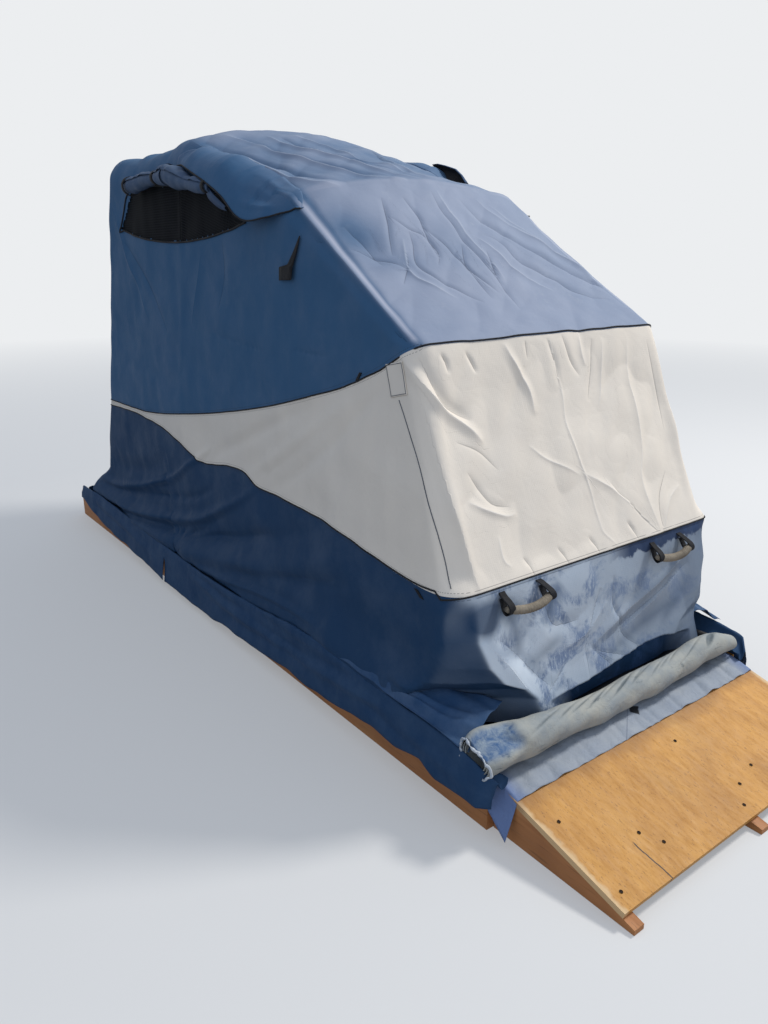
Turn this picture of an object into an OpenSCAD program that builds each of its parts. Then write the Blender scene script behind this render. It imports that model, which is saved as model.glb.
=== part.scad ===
/* [Platform] */
// Length of the platform, front to back
platform_l = 3658; // [3200:2:4200]
// Width over the side boards
platform_w = 1270; // [1250:2:1330]
// Height of the framing boards
board_h = 140; // [90:1:190]
// Thickness of the framing boards
board_t = 38; // [30:1:45]
// Thickness of the plywood
ply_t = 18; // [12:1:22]
// Joists under the deck, an odd number
joists = 5; // [3:2:9]
// Open joint between two sheets
sheet_gap = 2; // [1:1:5]

/* [Ramp] */
// Width of the ramp sheet
ramp_w = 1219; // [1000:1:1240]
// Level length that the sheet covers
ramp_run = 455; // [380:5:700]
// Slope of the sheet, in degrees
ramp_slope = 14.3; // [10:0.1:14.5]
// How far the stringers reach past the sheet
toe_reach = 32; // [10:1:60]
// Gap between the platform and the ramp
ramp_gap = 3; // [1:1:10]
// Height of the board that carries the sheet's upper end
header_h = 110; // [80:1:115]

/* [Base frame] */
// Width of the flat steel rail
rail_w = 40; // [25:1:50]
// Height of the flat steel rail
rail_h = 25; // [15:1:30]
// Distance from the middle to a side rail's centre
rail_x = 580; // [560:1:585]
// Front end of the side rails
rail_front = -1790; // [-1800:5:-1500]
// Back of the rear rail
rail_rear = 1620; // [1500:5:1700]

/* [Pivot] */
// How far the pivot lies behind the middle of the platform
pivot_y = 300; // [200:5:400]
// Height of the pivot above the ground
pivot_z = 205; // [204:1:215]
// Radius of the pivot pin
pin_r = 6; // [5:0.5:8]
// Running clearance round the pin
pin_gap = 0.05; // [0.02:0.01:0.1]
// Thickness of the bracket's plates
plate_t = 5; // [4:0.5:6]
// Inner face of the bracket, from the middle
bracket_in = 470; // [455:1:475]
// Outer face of the bracket, from the middle
bracket_out = 555; // [550:1:560]

/* [Bows] */
// Radius of the bow tubes
tube_r = 12.5; // [10:0.5:14]
// Thickness of the flat feet of the bows
foot_t = 6; // [4:0.5:6]
// Width of the flat feet of the bows
foot_w = 22; // [18:1:23]
// Distance from the pivot at which the tubes start
tube_start = 440; // [430:5:500]
// Angle of each bow from the front, in degrees: rear, roof, brow, upper front, lower front, hem
bow_angle = [112, 85.45, 58.07, 33.8, 13.1, 0];
// Distance from the pivot to the crown of each bow
bow_reach = [1985, 1873, 1912, 2017, 2006, 2130];
// Half the width over the tube centres of each bow
bow_half = [538, 538, 535, 553, 622, 598];
// Bend radius of each bow's corners
bow_bend = [120, 120, 115, 60, 55, 30];
// Tilt of the crown where it leaves each corner, in degrees
bow_tilt = [14, 14, 14, 0, 0, 0];

/* [Cover] */
// Thickness that the fabric is drawn with
cloth_t = 3; // [2:0.5:4]
// Gap between the tubes and the fabric
cloth_gap = 2.5; // [1:0.5:5]
// Half the width of the cover at the pivot
cover_foot = 622; // [615:1:626]
// Sag of a panel between two bows
sag = 14; // [0:1:30]
// Angle at which the lower front panel ends, in degrees
lower_end = 1.2; // [1:0.1:2]
// Reach of the lower front panel's bottom edge
lower_reach = 2060; // [2050:1:2080]
// Waist of the rear wall: angle, reach and half width
rear_waist = [168.7, 1100, 606];
// Foot of the rear wall: angle, reach and half width
rear_foot = [179.8, 1330, 626];
// Bend radius of the rear wall's corners
rear_bend = 100; // [60:5:140]

/* [Vents] */
// Rear and front ends of the window's lower edge
vent_y = [866, -400];
// Height of the lower edge at its middle
vent_low = 1627; // [1600:1:1660]
// How far the lower edge rises at its ends
vent_rise = 65; // [40:1:90]
// Rear and front ends of the window's upper edge
vent_top_y = [725, -150];
// Heights of the upper edge's ends
vent_top_z = [1866, 1838];
// Radius of the rolled-up flap
flap_roll_r = 26; // [15:1:30]

/* [Skirt and hem] */
// How far from the middle the side skirts stand out at the hem
skirt_out = 690; // [670:1:695]
// How far the side skirts reach past the rear rail
skirt_past = 45; // [0:1:60]
// Height of the side skirts' hem
hem_z = 62; // [40:1:100]
// Place of the slit in the side skirts
slit_y = 440; // [300:5:600]
// Width of that slit
slit_w = 10; // [4:1:20]
// How far the front skirt lies down the ramp
skirt_front_l = 82; // [40:1:120]
// How far the back skirt lies over the deck
skirt_back_l = 130; // [60:1:180]
// Radius of the rolled hem at the front
roll_r = 38; // [25:1:39]
// Half the length of the rolled hem
roll_half = 562; // [400:1:565]

/* [Handles] */
// Distance of each handle's middle from the middle of the cover
handle_x = [-385, 330];
// How far the handles lie below the lower front bow
handle_drop = 70; // [62:1:90]
// Length of the grip
grip_l = 150; // [110:1:180]
// Radius of the grip
grip_r = 13; // [10:0.5:16]
// Room for the fingers behind the grip
finger_gap = 30; // [25:1:40]

/* [Hidden] */

blue = [0.16, 0.25, 0.42];
pale_blue = [0.42, 0.48, 0.66];
off_white = [0.85, 0.84, 0.8];
black = [0.05, 0.05, 0.06];
steel = [0.35, 0.36, 0.38];
timber = [0.72, 0.45, 0.24];
plywood = [0.82, 0.62, 0.36];

deck_z = board_h + ply_t;
front_y = -platform_l / 2;
// Each third of the deck is a node of its own
sheet_l = (platform_l - 2 * sheet_gap) / 3;
joist_step = platform_l / (joists + 1);
turn_segments = 48;
bend_segments = 64;

// Numbers of the bows in the lists above
REAR = 0;
ROOF = 1;
BROW = 2;
UPPER = 3;
LOWER = 4;
HEM = 5;
bow_n = 6;
foot_gap = (bracket_out - bracket_in - 2 * plate_t - bow_n * foot_t) / (bow_n + 1);
function foot_x(i) = bracket_in + plate_t + foot_gap + foot_t / 2 + i * (foot_t + foot_gap);

// A point of the cover or of a bow: x across, r from the pivot, a up from the front
function fan(x, r, a) = [x, pivot_y - r * cos(a), pivot_z + r * sin(a)];

// Half outline of the fabric over a bow, from the leg's top to the middle, as [x, r] points
bend_steps = 4;
crown_steps = 3;
leg_steps = 2;
cloth_start = 60;
least_bend = 8;
function crown_radius(half, bend, tilt) = (half - bend) / sin(tilt) + bend;
function bend_centre(reach, half, bend, tilt) =
    tilt == 0 ? reach - bend
    : reach - crown_radius(half, bend, tilt) + (crown_radius(half, bend, tilt) - bend) * cos(tilt);
function leg_points(foot, half, top) =
    [for (k = [0:leg_steps - 1]) [
        foot + (half - foot) * k / leg_steps, cloth_start + (top - cloth_start) * k / leg_steps]];
function bend_points(half, bend, tilt, top) =
    [for (k = [0:bend_steps]) let (a = k / bend_steps * (90 - tilt))
        [half - bend + bend * cos(a), top + bend * sin(a)]];
function crown_points(reach, half, bend, tilt) =
    tilt == 0 ? [for (k = [1:crown_steps]) [(half - bend) * (1 - k / crown_steps), reach]]
    : let (big = crown_radius(half, bend, tilt))
        [for (k = [1:crown_steps]) let (a = tilt * (1 - k / crown_steps))
            [big * sin(a), reach - big + big * cos(a)]];
function half_outline(foot, reach, half, bend, tilt) =
    let (top = bend_centre(reach, half, bend, tilt))
    concat(leg_points(foot, half, top), bend_points(half, bend, tilt, top),
        crown_points(reach, half, bend, tilt));
function mirrored(p) = concat([for (q = p) [-q[0], q[1]]],
    [for (k = [len(p) - 2:-1:0]) p[k]]);
function outline(foot, reach, half, bend, tilt, inset) =
    mirrored(half_outline(foot - inset, reach - inset, half - inset,
        max(bend - inset, least_bend), tilt));

// Outline of the fabric over bow number i
cover_over = tube_r + cloth_gap + cloth_t;
function cover_outline(i, inset) = outline(cover_foot, bow_reach[i] + cover_over,
    bow_half[i] + cover_over, bow_bend[i] + cover_over, bow_tilt[i], inset);
function ring(points, a) = [for (p = points) fan(p[0], p[1], a)];
function blend_rings(p, q, t, drop) = [for (k = [0:len(p) - 1])
    let (m = p[k] * (1 - t) + q[k] * t, hub = [m[0], pivot_y, pivot_z], away = m - hub,
        share = norm(away) / lower_reach)
    m - away / norm(away) * drop * share * share];

// A closed sheet between an outer and an inner set of rings
module sheet(outer, inner) {
    rows = len(outer);
    n = len(outer[0]);
    points = concat([for (o = outer) each o], [for (i = inner) each i]);
    function at(side, row, k) = (side * rows + row) * n + k;
    function quad(a, b, c, d) = [[a, b, c], [a, c, d]];
    faces = concat(
        [for (r = [0:rows - 2]) for (k = [0:n - 2])
            each quad(at(0, r, k), at(0, r, k + 1), at(0, r + 1, k + 1), at(0, r + 1, k))],
        [for (r = [0:rows - 2]) for (k = [0:n - 2])
            each quad(at(1, r, k), at(1, r + 1, k), at(1, r + 1, k + 1), at(1, r, k + 1))],
        [for (k = [0:n - 2]) each quad(at(0, 0, k), at(1, 0, k), at(1, 0, k + 1), at(0, 0, k + 1))],
        [for (k = [0:n - 2]) each quad(at(0, rows - 1, k), at(0, rows - 1, k + 1),
            at(1, rows - 1, k + 1), at(1, rows - 1, k))],
        [for (r = [0:rows - 2]) each quad(at(0, r, 0), at(0, r + 1, 0), at(1, r + 1, 0), at(1, r, 0))],
        [for (r = [0:rows - 2]) each quad(at(0, r, n - 1), at(1, r, n - 1),
            at(1, r + 1, n - 1), at(0, r + 1, n - 1))]);
    polyhedron(points, faces, convexity = 6);
}

// The fabric between two outlines, kept clear of its neighbours at both bows
bow_clear = 0.1;
module bay(points_a, points_b, inner_a, inner_b, angle_a, angle_b, drop) {
    a = angle_a - bow_clear;
    b = angle_b + bow_clear;
    sheet([ring(points_a, a), blend_rings(ring(points_a, a), ring(points_b, b), 0.5, drop),
            ring(points_b, b)],
        [ring(inner_a, a), blend_rings(ring(inner_a, a), ring(inner_b, b), 0.5, drop),
            ring(inner_b, b)]);
}
module bow_bay(i, drop) {
    bay(cover_outline(i, 0), cover_outline(i + 1, 0), cover_outline(i, cloth_t),
        cover_outline(i + 1, cloth_t), bow_angle[i], bow_angle[i + 1], drop);
}

// Platform
module deck_sheet(k) {
    color(plywood)
        translate([-platform_w / 2, front_y + k * (sheet_l + sheet_gap), board_h])
            cube([platform_w, sheet_l, ply_t]);
}
module side_board(side) {
    color(timber)
        translate([side > 0 ? platform_w / 2 - board_t : -platform_w / 2, front_y, 0])
            cube([board_t, platform_l, board_h]);
}
module cross_board(y) {
    color(timber)
        translate([board_t - platform_w / 2, y - board_t / 2, 0])
            cube([platform_w - 2 * board_t, board_t, board_h]);
}
module floor_joists() {
    for (k = [1:joists]) cross_board(front_y + k * joist_step);
}

// Ramp: a sheet on three wedges, with its upper end on a header board
ramp_y = front_y - ramp_gap;
function sheet_under(y) = deck_z - ply_t / cos(ramp_slope) - (ramp_y - y) * tan(ramp_slope);
module across(w, x) {
    translate([x - w / 2, 0, 0]) rotate([90, 0, 90]) linear_extrude(w) children();
}
module ramp_sheet() {
    toe_y = ramp_y - ramp_run;
    rise = ply_t / cos(ramp_slope);
    color(plywood) across(ramp_w, 0)
        polygon([[ramp_y, sheet_under(ramp_y) + rise], [ramp_y, sheet_under(ramp_y)],
            [toe_y + ply_t * sin(ramp_slope), sheet_under(toe_y + ply_t * sin(ramp_slope))],
            [toe_y, sheet_under(toe_y) + rise]]);
}
module ramp_header() {
    color(timber)
        translate([-ramp_w / 2, ramp_y - board_t, 0]) cube([ramp_w, board_t, header_h]);
}
module ramp_stringers() {
    back_y = ramp_y - board_t;
    tip_y = ramp_y - ramp_run - toe_reach;
    for (x = [board_t / 2 - ramp_w / 2, 0, ramp_w / 2 - board_t / 2])
        color(timber) across(board_t, x)
            polygon([[back_y, 0], [back_y, sheet_under(back_y)], [tip_y, sheet_under(tip_y)],
                [tip_y, 0]]);
}

// Base frame of flat steel tube, with its bolts left out
module side_rail(side) {
    color(steel)
        translate([side * rail_x - rail_w / 2, rail_front, deck_z])
            cube([rail_w, rail_rear - rail_front, rail_h]);
}
module rail_rear() {
    span = 2 * rail_x - rail_w;
    color(steel)
        translate([-span / 2, rail_rear - rail_w, deck_z]) cube([span, rail_w, rail_h]);
}

// Pivot bracket: a plate bent up on both sides of the bows' feet, drilled for the pin
bracket_half = 45;
bolt_r = 4;
bolt_inset = 14;
module bracket_ear() {
    rise = pivot_z - deck_z;
    difference() {
        union() {
            translate([-bracket_half / 2, 0]) square([bracket_half, rise]);
            translate([0, rise]) circle(bracket_half / 2, $fn = turn_segments);
        }
        translate([0, rise]) circle(pin_r + pin_gap, $fn = turn_segments);
    }
}
module pivot_bracket(side) {
    color(steel) mirror([side > 0 ? 0 : 1, 0, 0]) {
        for (x = [bracket_in + plate_t / 2, bracket_out - plate_t / 2])
            translate([0, pivot_y, deck_z]) across(plate_t, x) bracket_ear();
        difference() {
            translate([bracket_in, pivot_y - bracket_half, deck_z])
                cube([bracket_out - bracket_in, 2 * bracket_half, plate_t]);
            for (y = [-1, 1])
                translate([(bracket_in + bracket_out) / 2,
                    pivot_y + y * (bracket_half - bolt_inset), deck_z - 1])
                    cylinder(r = bolt_r, h = plate_t + 2, $fn = turn_segments);
        }
    }
}
pin_head_r = 11;
pin_head_t = 5;
nut_t = 6;
pin_out = 2;
module pivot_pin(side) {
    color(steel) mirror([side > 0 ? 0 : 1, 0, 0])
        translate([bracket_in - pin_head_t, pivot_y, pivot_z]) rotate([0, 90, 0]) {
            cylinder(r = pin_head_r, h = pin_head_t, $fn = turn_segments);
            cylinder(r = pin_r, h = bracket_out - bracket_in + pin_head_t + nut_t + pin_out,
                $fn = turn_segments);
            translate([0, 0, bracket_out - bracket_in + pin_head_t])
                cylinder(r = pin_head_r, h = nut_t, $fn = 6);
        }
}

// A bow: a bent tube whose legs end in flat feet on the pivot pins
foot_lap = 36;
module rod(p, q, r) {
    d = q - p;
    translate(p) rotate([0, acos(d[2] / norm(d)), atan2(d[1], d[0])])
        cylinder(r = r, h = norm(d), $fn = turn_segments);
}
module bow_foot(i) {
    across(foot_t, foot_x(i)) difference() {
        union() {
            circle(foot_w / 2, $fn = turn_segments);
            translate([-foot_w / 2, 0]) square([foot_w, tube_start + foot_lap]);
        }
        circle(pin_r + pin_gap, $fn = turn_segments);
    }
}
// Angle at which the straight leg meets its corner's bend, from the x axis
function leg_meets(foot, centre, bend) =
    let (d = foot - centre) atan2(d[1], d[0]) + acos(bend / norm(d));
// Sleeve over the joint of a bend with a leg or a crown, as the tubes come in lengths
sleeve_r = tube_r + 1.5;
sleeve_long = 26;
sleeve_short = 5;
tube_end = 2;
module sleeve(joint, a, before, after) {
    ahead = [cos(a), 0, sin(a)];
    middle = [joint[0], 0, joint[1]];
    rod(middle - before * ahead, middle + after * ahead, sleeve_r);
}
module bow_side(i) {
    bend = bow_bend[i];
    tilt = bow_tilt[i];
    foot = [foot_x(i), tube_start];
    centre = [bow_half[i] - bend, bend_centre(bow_reach[i], bow_half[i], bend, tilt)];
    meets = leg_meets(foot, centre, bend);
    leg_top = centre + bend * [cos(meets), sin(meets)];
    leg_end = leg_top - tube_end * [-sin(meets), cos(meets)];
    bend_top = centre + bend * [sin(tilt), cos(tilt)];
    rod([foot[0], 0, foot[1]], [leg_end[0], 0, leg_end[1]], tube_r);
    sleeve(leg_top, meets + 90, sleeve_long, sleeve_short);
    translate([centre[0], 0, centre[1]]) rotate([90, 0, 0]) rotate([0, 0, meets])
        rotate_extrude(angle = 90 - tilt - meets, $fn = bend_segments)
            translate([bend, 0]) circle(tube_r, $fn = turn_segments);
    sleeve(bend_top, 180 - tilt, sleeve_short, sleeve_long);
    bow_foot(i);
}
module bow_crown(i) {
    reach = bow_reach[i];
    half = bow_half[i];
    bend = bow_bend[i];
    tilt = bow_tilt[i];
    if (tilt == 0)
        rod([bend - half + tube_end, 0, reach], [half - bend - tube_end, 0, reach], tube_r);
    else {
        big = crown_radius(half, bend, tilt);
        swept = tilt - tube_end / big * 180 / PI;
        translate([0, 0, reach - big]) rotate([90, 0, 0]) rotate([0, 0, 90 - swept])
            rotate_extrude(angle = 2 * swept, $fn = bend_segments)
                translate([big, 0]) circle(tube_r, $fn = turn_segments);
    }
}
module bow(i) {
    color(steel) translate([0, pivot_y, pivot_z]) rotate([90 - bow_angle[i], 0, 0]) {
        for (side = [0, 1]) mirror([side, 0, 0]) bow_side(i);
        bow_crown(i);
    }
}

// Vent windows in both sides of the cover, cut through two bays
vent_steps = 10;
function vent_bottom(y) = let (mid = (vent_y[0] + vent_y[1]) / 2, half = (vent_y[0] - vent_y[1]) / 2)
    vent_low + vent_rise * pow((y - mid) / half, 2);
vent_outline = concat(
    [for (k = [0:vent_steps]) let (y = vent_y[1] + (vent_y[0] - vent_y[1]) * k / vent_steps)
        [y, vent_bottom(y)]],
    [[vent_top_y[0], vent_top_z[0]], [vent_top_y[1], vent_top_z[1]]]);
mesh_gap = 3;
module vent_prism(inset) {
    across(2 * platform_w, 0) offset(delta = -inset) polygon(vent_outline);
}
module vent_mesh(i) {
    color(black) intersection() {
        bow_bay(i, sag);
        vent_prism(mesh_gap);
    }
}

// The window flap, rolled up and tied under the roof's edge
flap_x = 592;
flap_rear = [[690, 1870], [190, 1876]];
flap_front = [[130, 1872], [-105, 1848]];
module flap_roll(ends) {
    color(blue) for (side = [-1, 1])
        rod([side * flap_x, ends[0][0], ends[0][1]], [side * flap_x, ends[1][0], ends[1][1]],
            flap_roll_r);
}

// Hood of roof fabric over the window's front end
visor_top = [[-700, 1762], [-520, 1822], [-330, 1862], [-170, 1886]];
visor_edge = [[-712, 1748], [-400, 1694], [-275, 1742], [-160, 1846]];
visor_x = [574, 576, 580, 588];
visor_edge_x = [576, 628, 630, 626];
module vent_visors() {
    color(blue) for (side = [0, 1]) mirror([side, 0, 0])
        sheet([[for (k = [0:3]) [visor_edge_x[k], visor_edge[k][0], visor_edge[k][1]]],
                [for (k = [0:3]) [visor_x[k], visor_top[k][0], visor_top[k][1]]]],
            [[for (k = [0:3]) [visor_edge_x[k] - cloth_t, visor_edge[k][0], visor_edge[k][1]]],
                [for (k = [0:3]) [visor_x[k] - cloth_t, visor_top[k][0], visor_top[k][1]]]]);
}

// Covers
module vented_bay(i) {
    color(blue) difference() {
        bow_bay(i, sag);
        vent_prism(0);
    }
}
module rear_cover() {
    waist = rear_waist;
    foot = rear_foot;
    function waist_points(inset) = outline(cover_foot, waist[1], waist[2], rear_bend, 0, inset);
    function foot_points(inset) = outline(cover_foot, foot[1], foot[2], rear_bend, 0, inset);
    a = bow_angle[REAR] + bow_clear;
    over = a + cover_over / bow_reach[REAR] * 180 / PI;
    color(blue)
        sheet([ring(foot_points(0), foot[0]), ring(waist_points(0), waist[0]),
                ring(cover_outline(REAR, 0), over), ring(cover_outline(REAR, 0), a)],
            [ring(foot_points(cloth_t), foot[0]), ring(waist_points(cloth_t), waist[0]),
                ring(cover_outline(REAR, cloth_t), over), ring(cover_outline(REAR, cloth_t), a)]);
}
module lower_cover() {
    lower_half = bow_half[LOWER] + cover_over;
    function end_points(inset) = outline(cover_foot, lower_reach, lower_half,
        bow_bend[LOWER] + cover_over, 0, inset);
    color(pale_blue)
        bay(cover_outline(LOWER, 0), end_points(0), cover_outline(LOWER, cloth_t),
            end_points(cloth_t), bow_angle[LOWER], lower_end, sag);
}

// Skirts, fastened to the base frame and hanging over the platform's edges
skirt_lift = 26;
skirt_top = deck_z + skirt_lift;
// The side skirts bulge up beside the cover's lower edge before they hang down
skirt_bulge = [[640, 39], [655, 64], [664, 74], [672, 62]];
slit_top = deck_z - 8;
cloth_lie = 1.5;
past = 10;
// A line of points, given the fabric's thickness
function strip(p) = concat(p, [for (k = [len(p) - 1:-1:0])
    let (d = p[min(k + 1, len(p) - 1)] - p[max(k - 1, 0)])
    p[k] + cloth_t / norm(d) * [d[1], -d[0]]]);
module side_skirt(side) {
    top_x = rail_x + rail_w / 2 + 1;
    length_y = rail_rear + skirt_past + rail_gap - front_y + ramp_gap;
    color(blue) mirror([side > 0 ? 0 : 1, 0, 0]) difference() {
        translate([0, rail_rear + skirt_past, 0]) rotate([90, 0, 0]) linear_extrude(length_y)
            polygon(strip(concat([[top_x, skirt_top]],
                [for (p = skirt_bulge) [p[0], deck_z + p[1]]], [[skirt_out, hem_z]])));
        translate([top_x, slit_y - slit_w / 2, hem_z - past])
            cube([skirt_out - top_x + past, slit_w, slit_top - hem_z + past]);
    }
}
// The front skirt lies on the deck before the rails and on down the ramp
rail_gap = 2;
module skirt_front() {
    drop = tan(ramp_slope) * skirt_front_l;
    start = rail_front - rail_gap;
    color(pale_blue) across(2 * rail_x + rail_w, 0) translate([0, cloth_lie])
        polygon([[start, deck_z], [start, deck_z + cloth_t],
            [ramp_y, deck_z + cloth_t], [ramp_y - skirt_front_l, deck_z - drop + cloth_t],
            [ramp_y - skirt_front_l, deck_z - drop], [ramp_y, deck_z]]);
}
back_slope_l = 40;
module skirt_back() {
    start = rail_rear + rail_gap;
    low = deck_z + cloth_lie;
    color(blue) across(2 * rail_x + rail_w, 0)
        polygon([[start, skirt_top], [start + back_slope_l, low + cloth_t],
            [start + skirt_back_l, low + cloth_t], [start + skirt_back_l, low],
            [start + back_slope_l - rail_gap, low], [start, skirt_top - cloth_t]]);
}
// The cover's lower edge, rolled up round the hem bow and its sleeves
module hem_roll() {
    bore = sleeve_r + cloth_lie;
    color(pale_blue) translate([-roll_half, pivot_y - bow_reach[HEM], pivot_z])
        rotate([0, 90, 0]) difference() {
            cylinder(r = roll_r, h = 2 * roll_half, $fn = turn_segments);
            translate([0, 0, -past])
                cylinder(r = bore, h = 2 * (roll_half + past), $fn = turn_segments);
        }
}

// Grab handles: a padded grip on two webbing loops under the lower front bow
web_w = 28;
web_t = 4;
web_up = 62;
web_down = 52;
web_clear = 2;
collar = 3;
// The handles lie along the lower panel, which leans forward between these two points
panel_top = fan(0, bow_reach[LOWER] + cover_over, bow_angle[LOWER]);
panel_foot = fan(0, lower_reach, lower_end);
panel_lean = atan2(panel_top[1] - panel_foot[1], panel_top[2] - panel_foot[2]);
module web_loop(stand) {
    front = -stand - grip_r - web_t;
    across(web_w, 0) difference() {
        polygon([[0, web_up], [front, grip_r], [front, -grip_r], [0, -web_down]]);
        polygon([[-web_t, web_up - 3 * web_t], [front + web_t, grip_r - web_t / 2],
            [front + web_t, web_t / 2 - grip_r], [-web_t, 3 * web_t - web_down]]);
    }
}
module grab_handle(x) {
    stand = finger_gap + grip_r;
    end_x = grip_l / 2 + web_w;
    color(black) translate([x, panel_top[1], panel_top[2]]) rotate([-panel_lean, 0, 0])
        translate([0, -web_clear, -handle_drop]) {
            for (side = [-1, 1]) translate([side * (grip_l + web_w) / 2, 0, 0]) web_loop(stand);
            rod([-end_x, -stand, 0], [end_x, -stand, 0], grip_r);
            for (side = [-1, 1])
                rod([side * grip_l / 2, -stand, 0], [side * (end_x + collar), -stand, 0],
                    grip_r + collar);
        }
}

deck_sheet(0);  // deck_sheet_front
deck_sheet(1);  // deck_sheet_middle
deck_sheet(2);  // deck_sheet_rear
side_board(-1);  // side_board_left
side_board(1);  // side_board_right
cross_board(front_y + board_t / 2);  // end_board_front
cross_board(-front_y - board_t / 2);  // end_board_rear
floor_joists();
ramp_sheet();
ramp_header();
ramp_stringers();
side_rail(-1);  // rail_left
side_rail(1);  // rail_right
rail_rear();
pivot_bracket(-1);  // pivot_bracket_left
pivot_bracket(1);  // pivot_bracket_right
pivot_pin(-1);  // pivot_pin_left
pivot_pin(1);  // pivot_pin_right
bow(REAR);  // rear_bow
bow(ROOF);  // roof_bow
bow(BROW);  // brow_bow
bow(UPPER);  // upper_front_bow
bow(LOWER);  // lower_front_bow
bow(HEM);  // hem_bow
rear_cover();
vented_bay(REAR);  // vent_cover
vented_bay(ROOF);  // crown_cover
color(blue) bow_bay(BROW, sag);  // slope_cover
color(off_white) bow_bay(UPPER, sag);  // front_cover
lower_cover();
side_skirt(-1);  // skirt_left
side_skirt(1);  // skirt_right
skirt_front();
skirt_back();
hem_roll();
vent_mesh(REAR);  // vent_mesh_rear
vent_mesh(ROOF);  // vent_mesh_front
flap_roll(flap_rear);  // vent_flap_rear
flap_roll(flap_front);  // vent_flap_front
vent_visors();
grab_handle(handle_x[0]);  // grab_handle_left
grab_handle(handle_x[1]);  // grab_handle_right
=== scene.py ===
# %% [markdown]
# # A folding motorcycle shelter on its plywood platform
#
# The real object is a clamshell cover: one sewn sheet of coated polyester over six steel bows. The
# rear bow stands still, and the others swing back to it on one line of pins near the floor. It all
# stands on a home-made platform of plywood and boards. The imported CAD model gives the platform, bows,
# pins and rails. This lesson dresses them in cloth.

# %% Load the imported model
import bpy
import bmesh
import numpy as np
from math import cos, pi, radians, sin
from mathutils import Matrix, Vector
from mathutils.kdtree import KDTree


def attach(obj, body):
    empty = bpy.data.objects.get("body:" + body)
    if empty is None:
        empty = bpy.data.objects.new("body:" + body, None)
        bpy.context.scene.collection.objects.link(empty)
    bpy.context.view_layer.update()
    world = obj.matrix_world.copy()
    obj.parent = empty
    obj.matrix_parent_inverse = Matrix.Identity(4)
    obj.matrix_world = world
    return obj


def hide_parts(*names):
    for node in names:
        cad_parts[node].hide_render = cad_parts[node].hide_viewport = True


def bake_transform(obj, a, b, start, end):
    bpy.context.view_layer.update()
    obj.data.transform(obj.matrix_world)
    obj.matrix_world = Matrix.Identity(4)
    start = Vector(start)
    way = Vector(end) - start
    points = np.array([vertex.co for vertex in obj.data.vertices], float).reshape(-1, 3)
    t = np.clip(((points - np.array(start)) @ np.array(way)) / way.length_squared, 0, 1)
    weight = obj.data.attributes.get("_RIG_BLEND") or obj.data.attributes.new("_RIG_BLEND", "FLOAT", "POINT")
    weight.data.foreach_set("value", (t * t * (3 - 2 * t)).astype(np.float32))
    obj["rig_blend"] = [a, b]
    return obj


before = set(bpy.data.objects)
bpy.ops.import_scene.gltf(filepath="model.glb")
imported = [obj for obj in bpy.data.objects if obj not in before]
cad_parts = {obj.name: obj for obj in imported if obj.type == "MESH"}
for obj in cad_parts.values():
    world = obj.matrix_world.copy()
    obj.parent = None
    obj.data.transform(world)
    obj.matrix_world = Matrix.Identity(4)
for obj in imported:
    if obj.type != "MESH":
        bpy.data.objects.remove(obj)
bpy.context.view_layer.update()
print("nodes:", len(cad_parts))

# %% [markdown]
# ## The camera
#
# The platform has straight edges of known length, so the corners of its boards and of the ramp give
# the camera's place, tilt and lens. Here it stands at eye height, off the shelter's front left corner.

# %% The camera
CAMERA_PLACE = (-2.0194, -3.1710, 1.596)
TILT_UP, TURN_RIGHT = 71.8, 37.03
LENS, SENSOR = 28.02, 36  # in millimetres
scene = bpy.context.scene
camera = bpy.data.objects.new("camera", bpy.data.cameras.new("camera"))
scene.collection.objects.link(camera)
camera.location = CAMERA_PLACE
camera.rotation_euler = (radians(TILT_UP), 0, -radians(TURN_RIGHT))
camera.data.lens = LENS
camera.data.sensor_width = SENSOR
scene.camera = camera
print("camera at", tuple(round(c, 2) for c in camera.location))

# %% [markdown]
# ## Light and floor
#
# The object stood in sun from the right, with its left side lit by the sky alone. A strong lamp high
# on the right, a weak wide one on the left and a pale world give the same order of light and shade.
# World and floor show a paler colour to the camera and to reflections than the light that they give,
# so that the side in shade stays as dark as it would be on a street.

# %% Helpers for shader nodes
def feed(tree, node, inputs):
    """Give a node's sockets a value or a link."""
    for name, value in inputs.items():
        if isinstance(value, bpy.types.NodeSocket):
            tree.links.new(value, node.inputs[name])
        else:
            node.inputs[name].default_value = value


def put(tree, kind, inputs=(), **settings):
    """Add a shader node, set its options and feed its sockets."""
    node = tree.nodes.new("ShaderNode" + kind)
    for name, value in settings.items():
        setattr(node, name, value)
    feed(tree, node, dict(inputs))
    return node


def linear(red, green, blue):
    """A colour picked from a screen, from 0 to 255, as the light values that shaders use."""
    share = [c / 255 for c in (red, green, blue)]
    return [c / 12.92 if c <= 0.04045 else ((c + 0.055) / 1.055) ** 2.4 for c in share] + [1]


def maths(tree, operation, first, second=0.0, third=0.0, clamp=False):
    inputs = {0: first, 1: second, 2: third}
    return put(tree, "Math", inputs, operation=operation, use_clamp=clamp).outputs[0]


def mixed(tree, share, first, second, kind="MIX"):
    """Mix two colours: the share says how much of the second one shows."""
    node = put(tree, "Mix", {0: share, 6: first, 7: second}, data_type="RGBA", blend_type=kind)
    return node.outputs[2]


def spread(tree, value, low, high, to_low=0.0, to_high=1.0):
    """Stretch a value from one span to another, and clamp it there."""
    inputs = {"Value": value, "From Min": low, "From Max": high, "To Min": to_low, "To Max": to_high}
    return put(tree, "MapRange", inputs).outputs[0]


def times(tree, first, second):
    return maths(tree, "MULTIPLY", first, second)


def apart(tree, first, second):
    """How far two values lie apart."""
    return maths(tree, "ABSOLUTE", maths(tree, "SUBTRACT", first, second))


def object_place(tree):
    return put(tree, "TexCoord").outputs["Object"]


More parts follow.
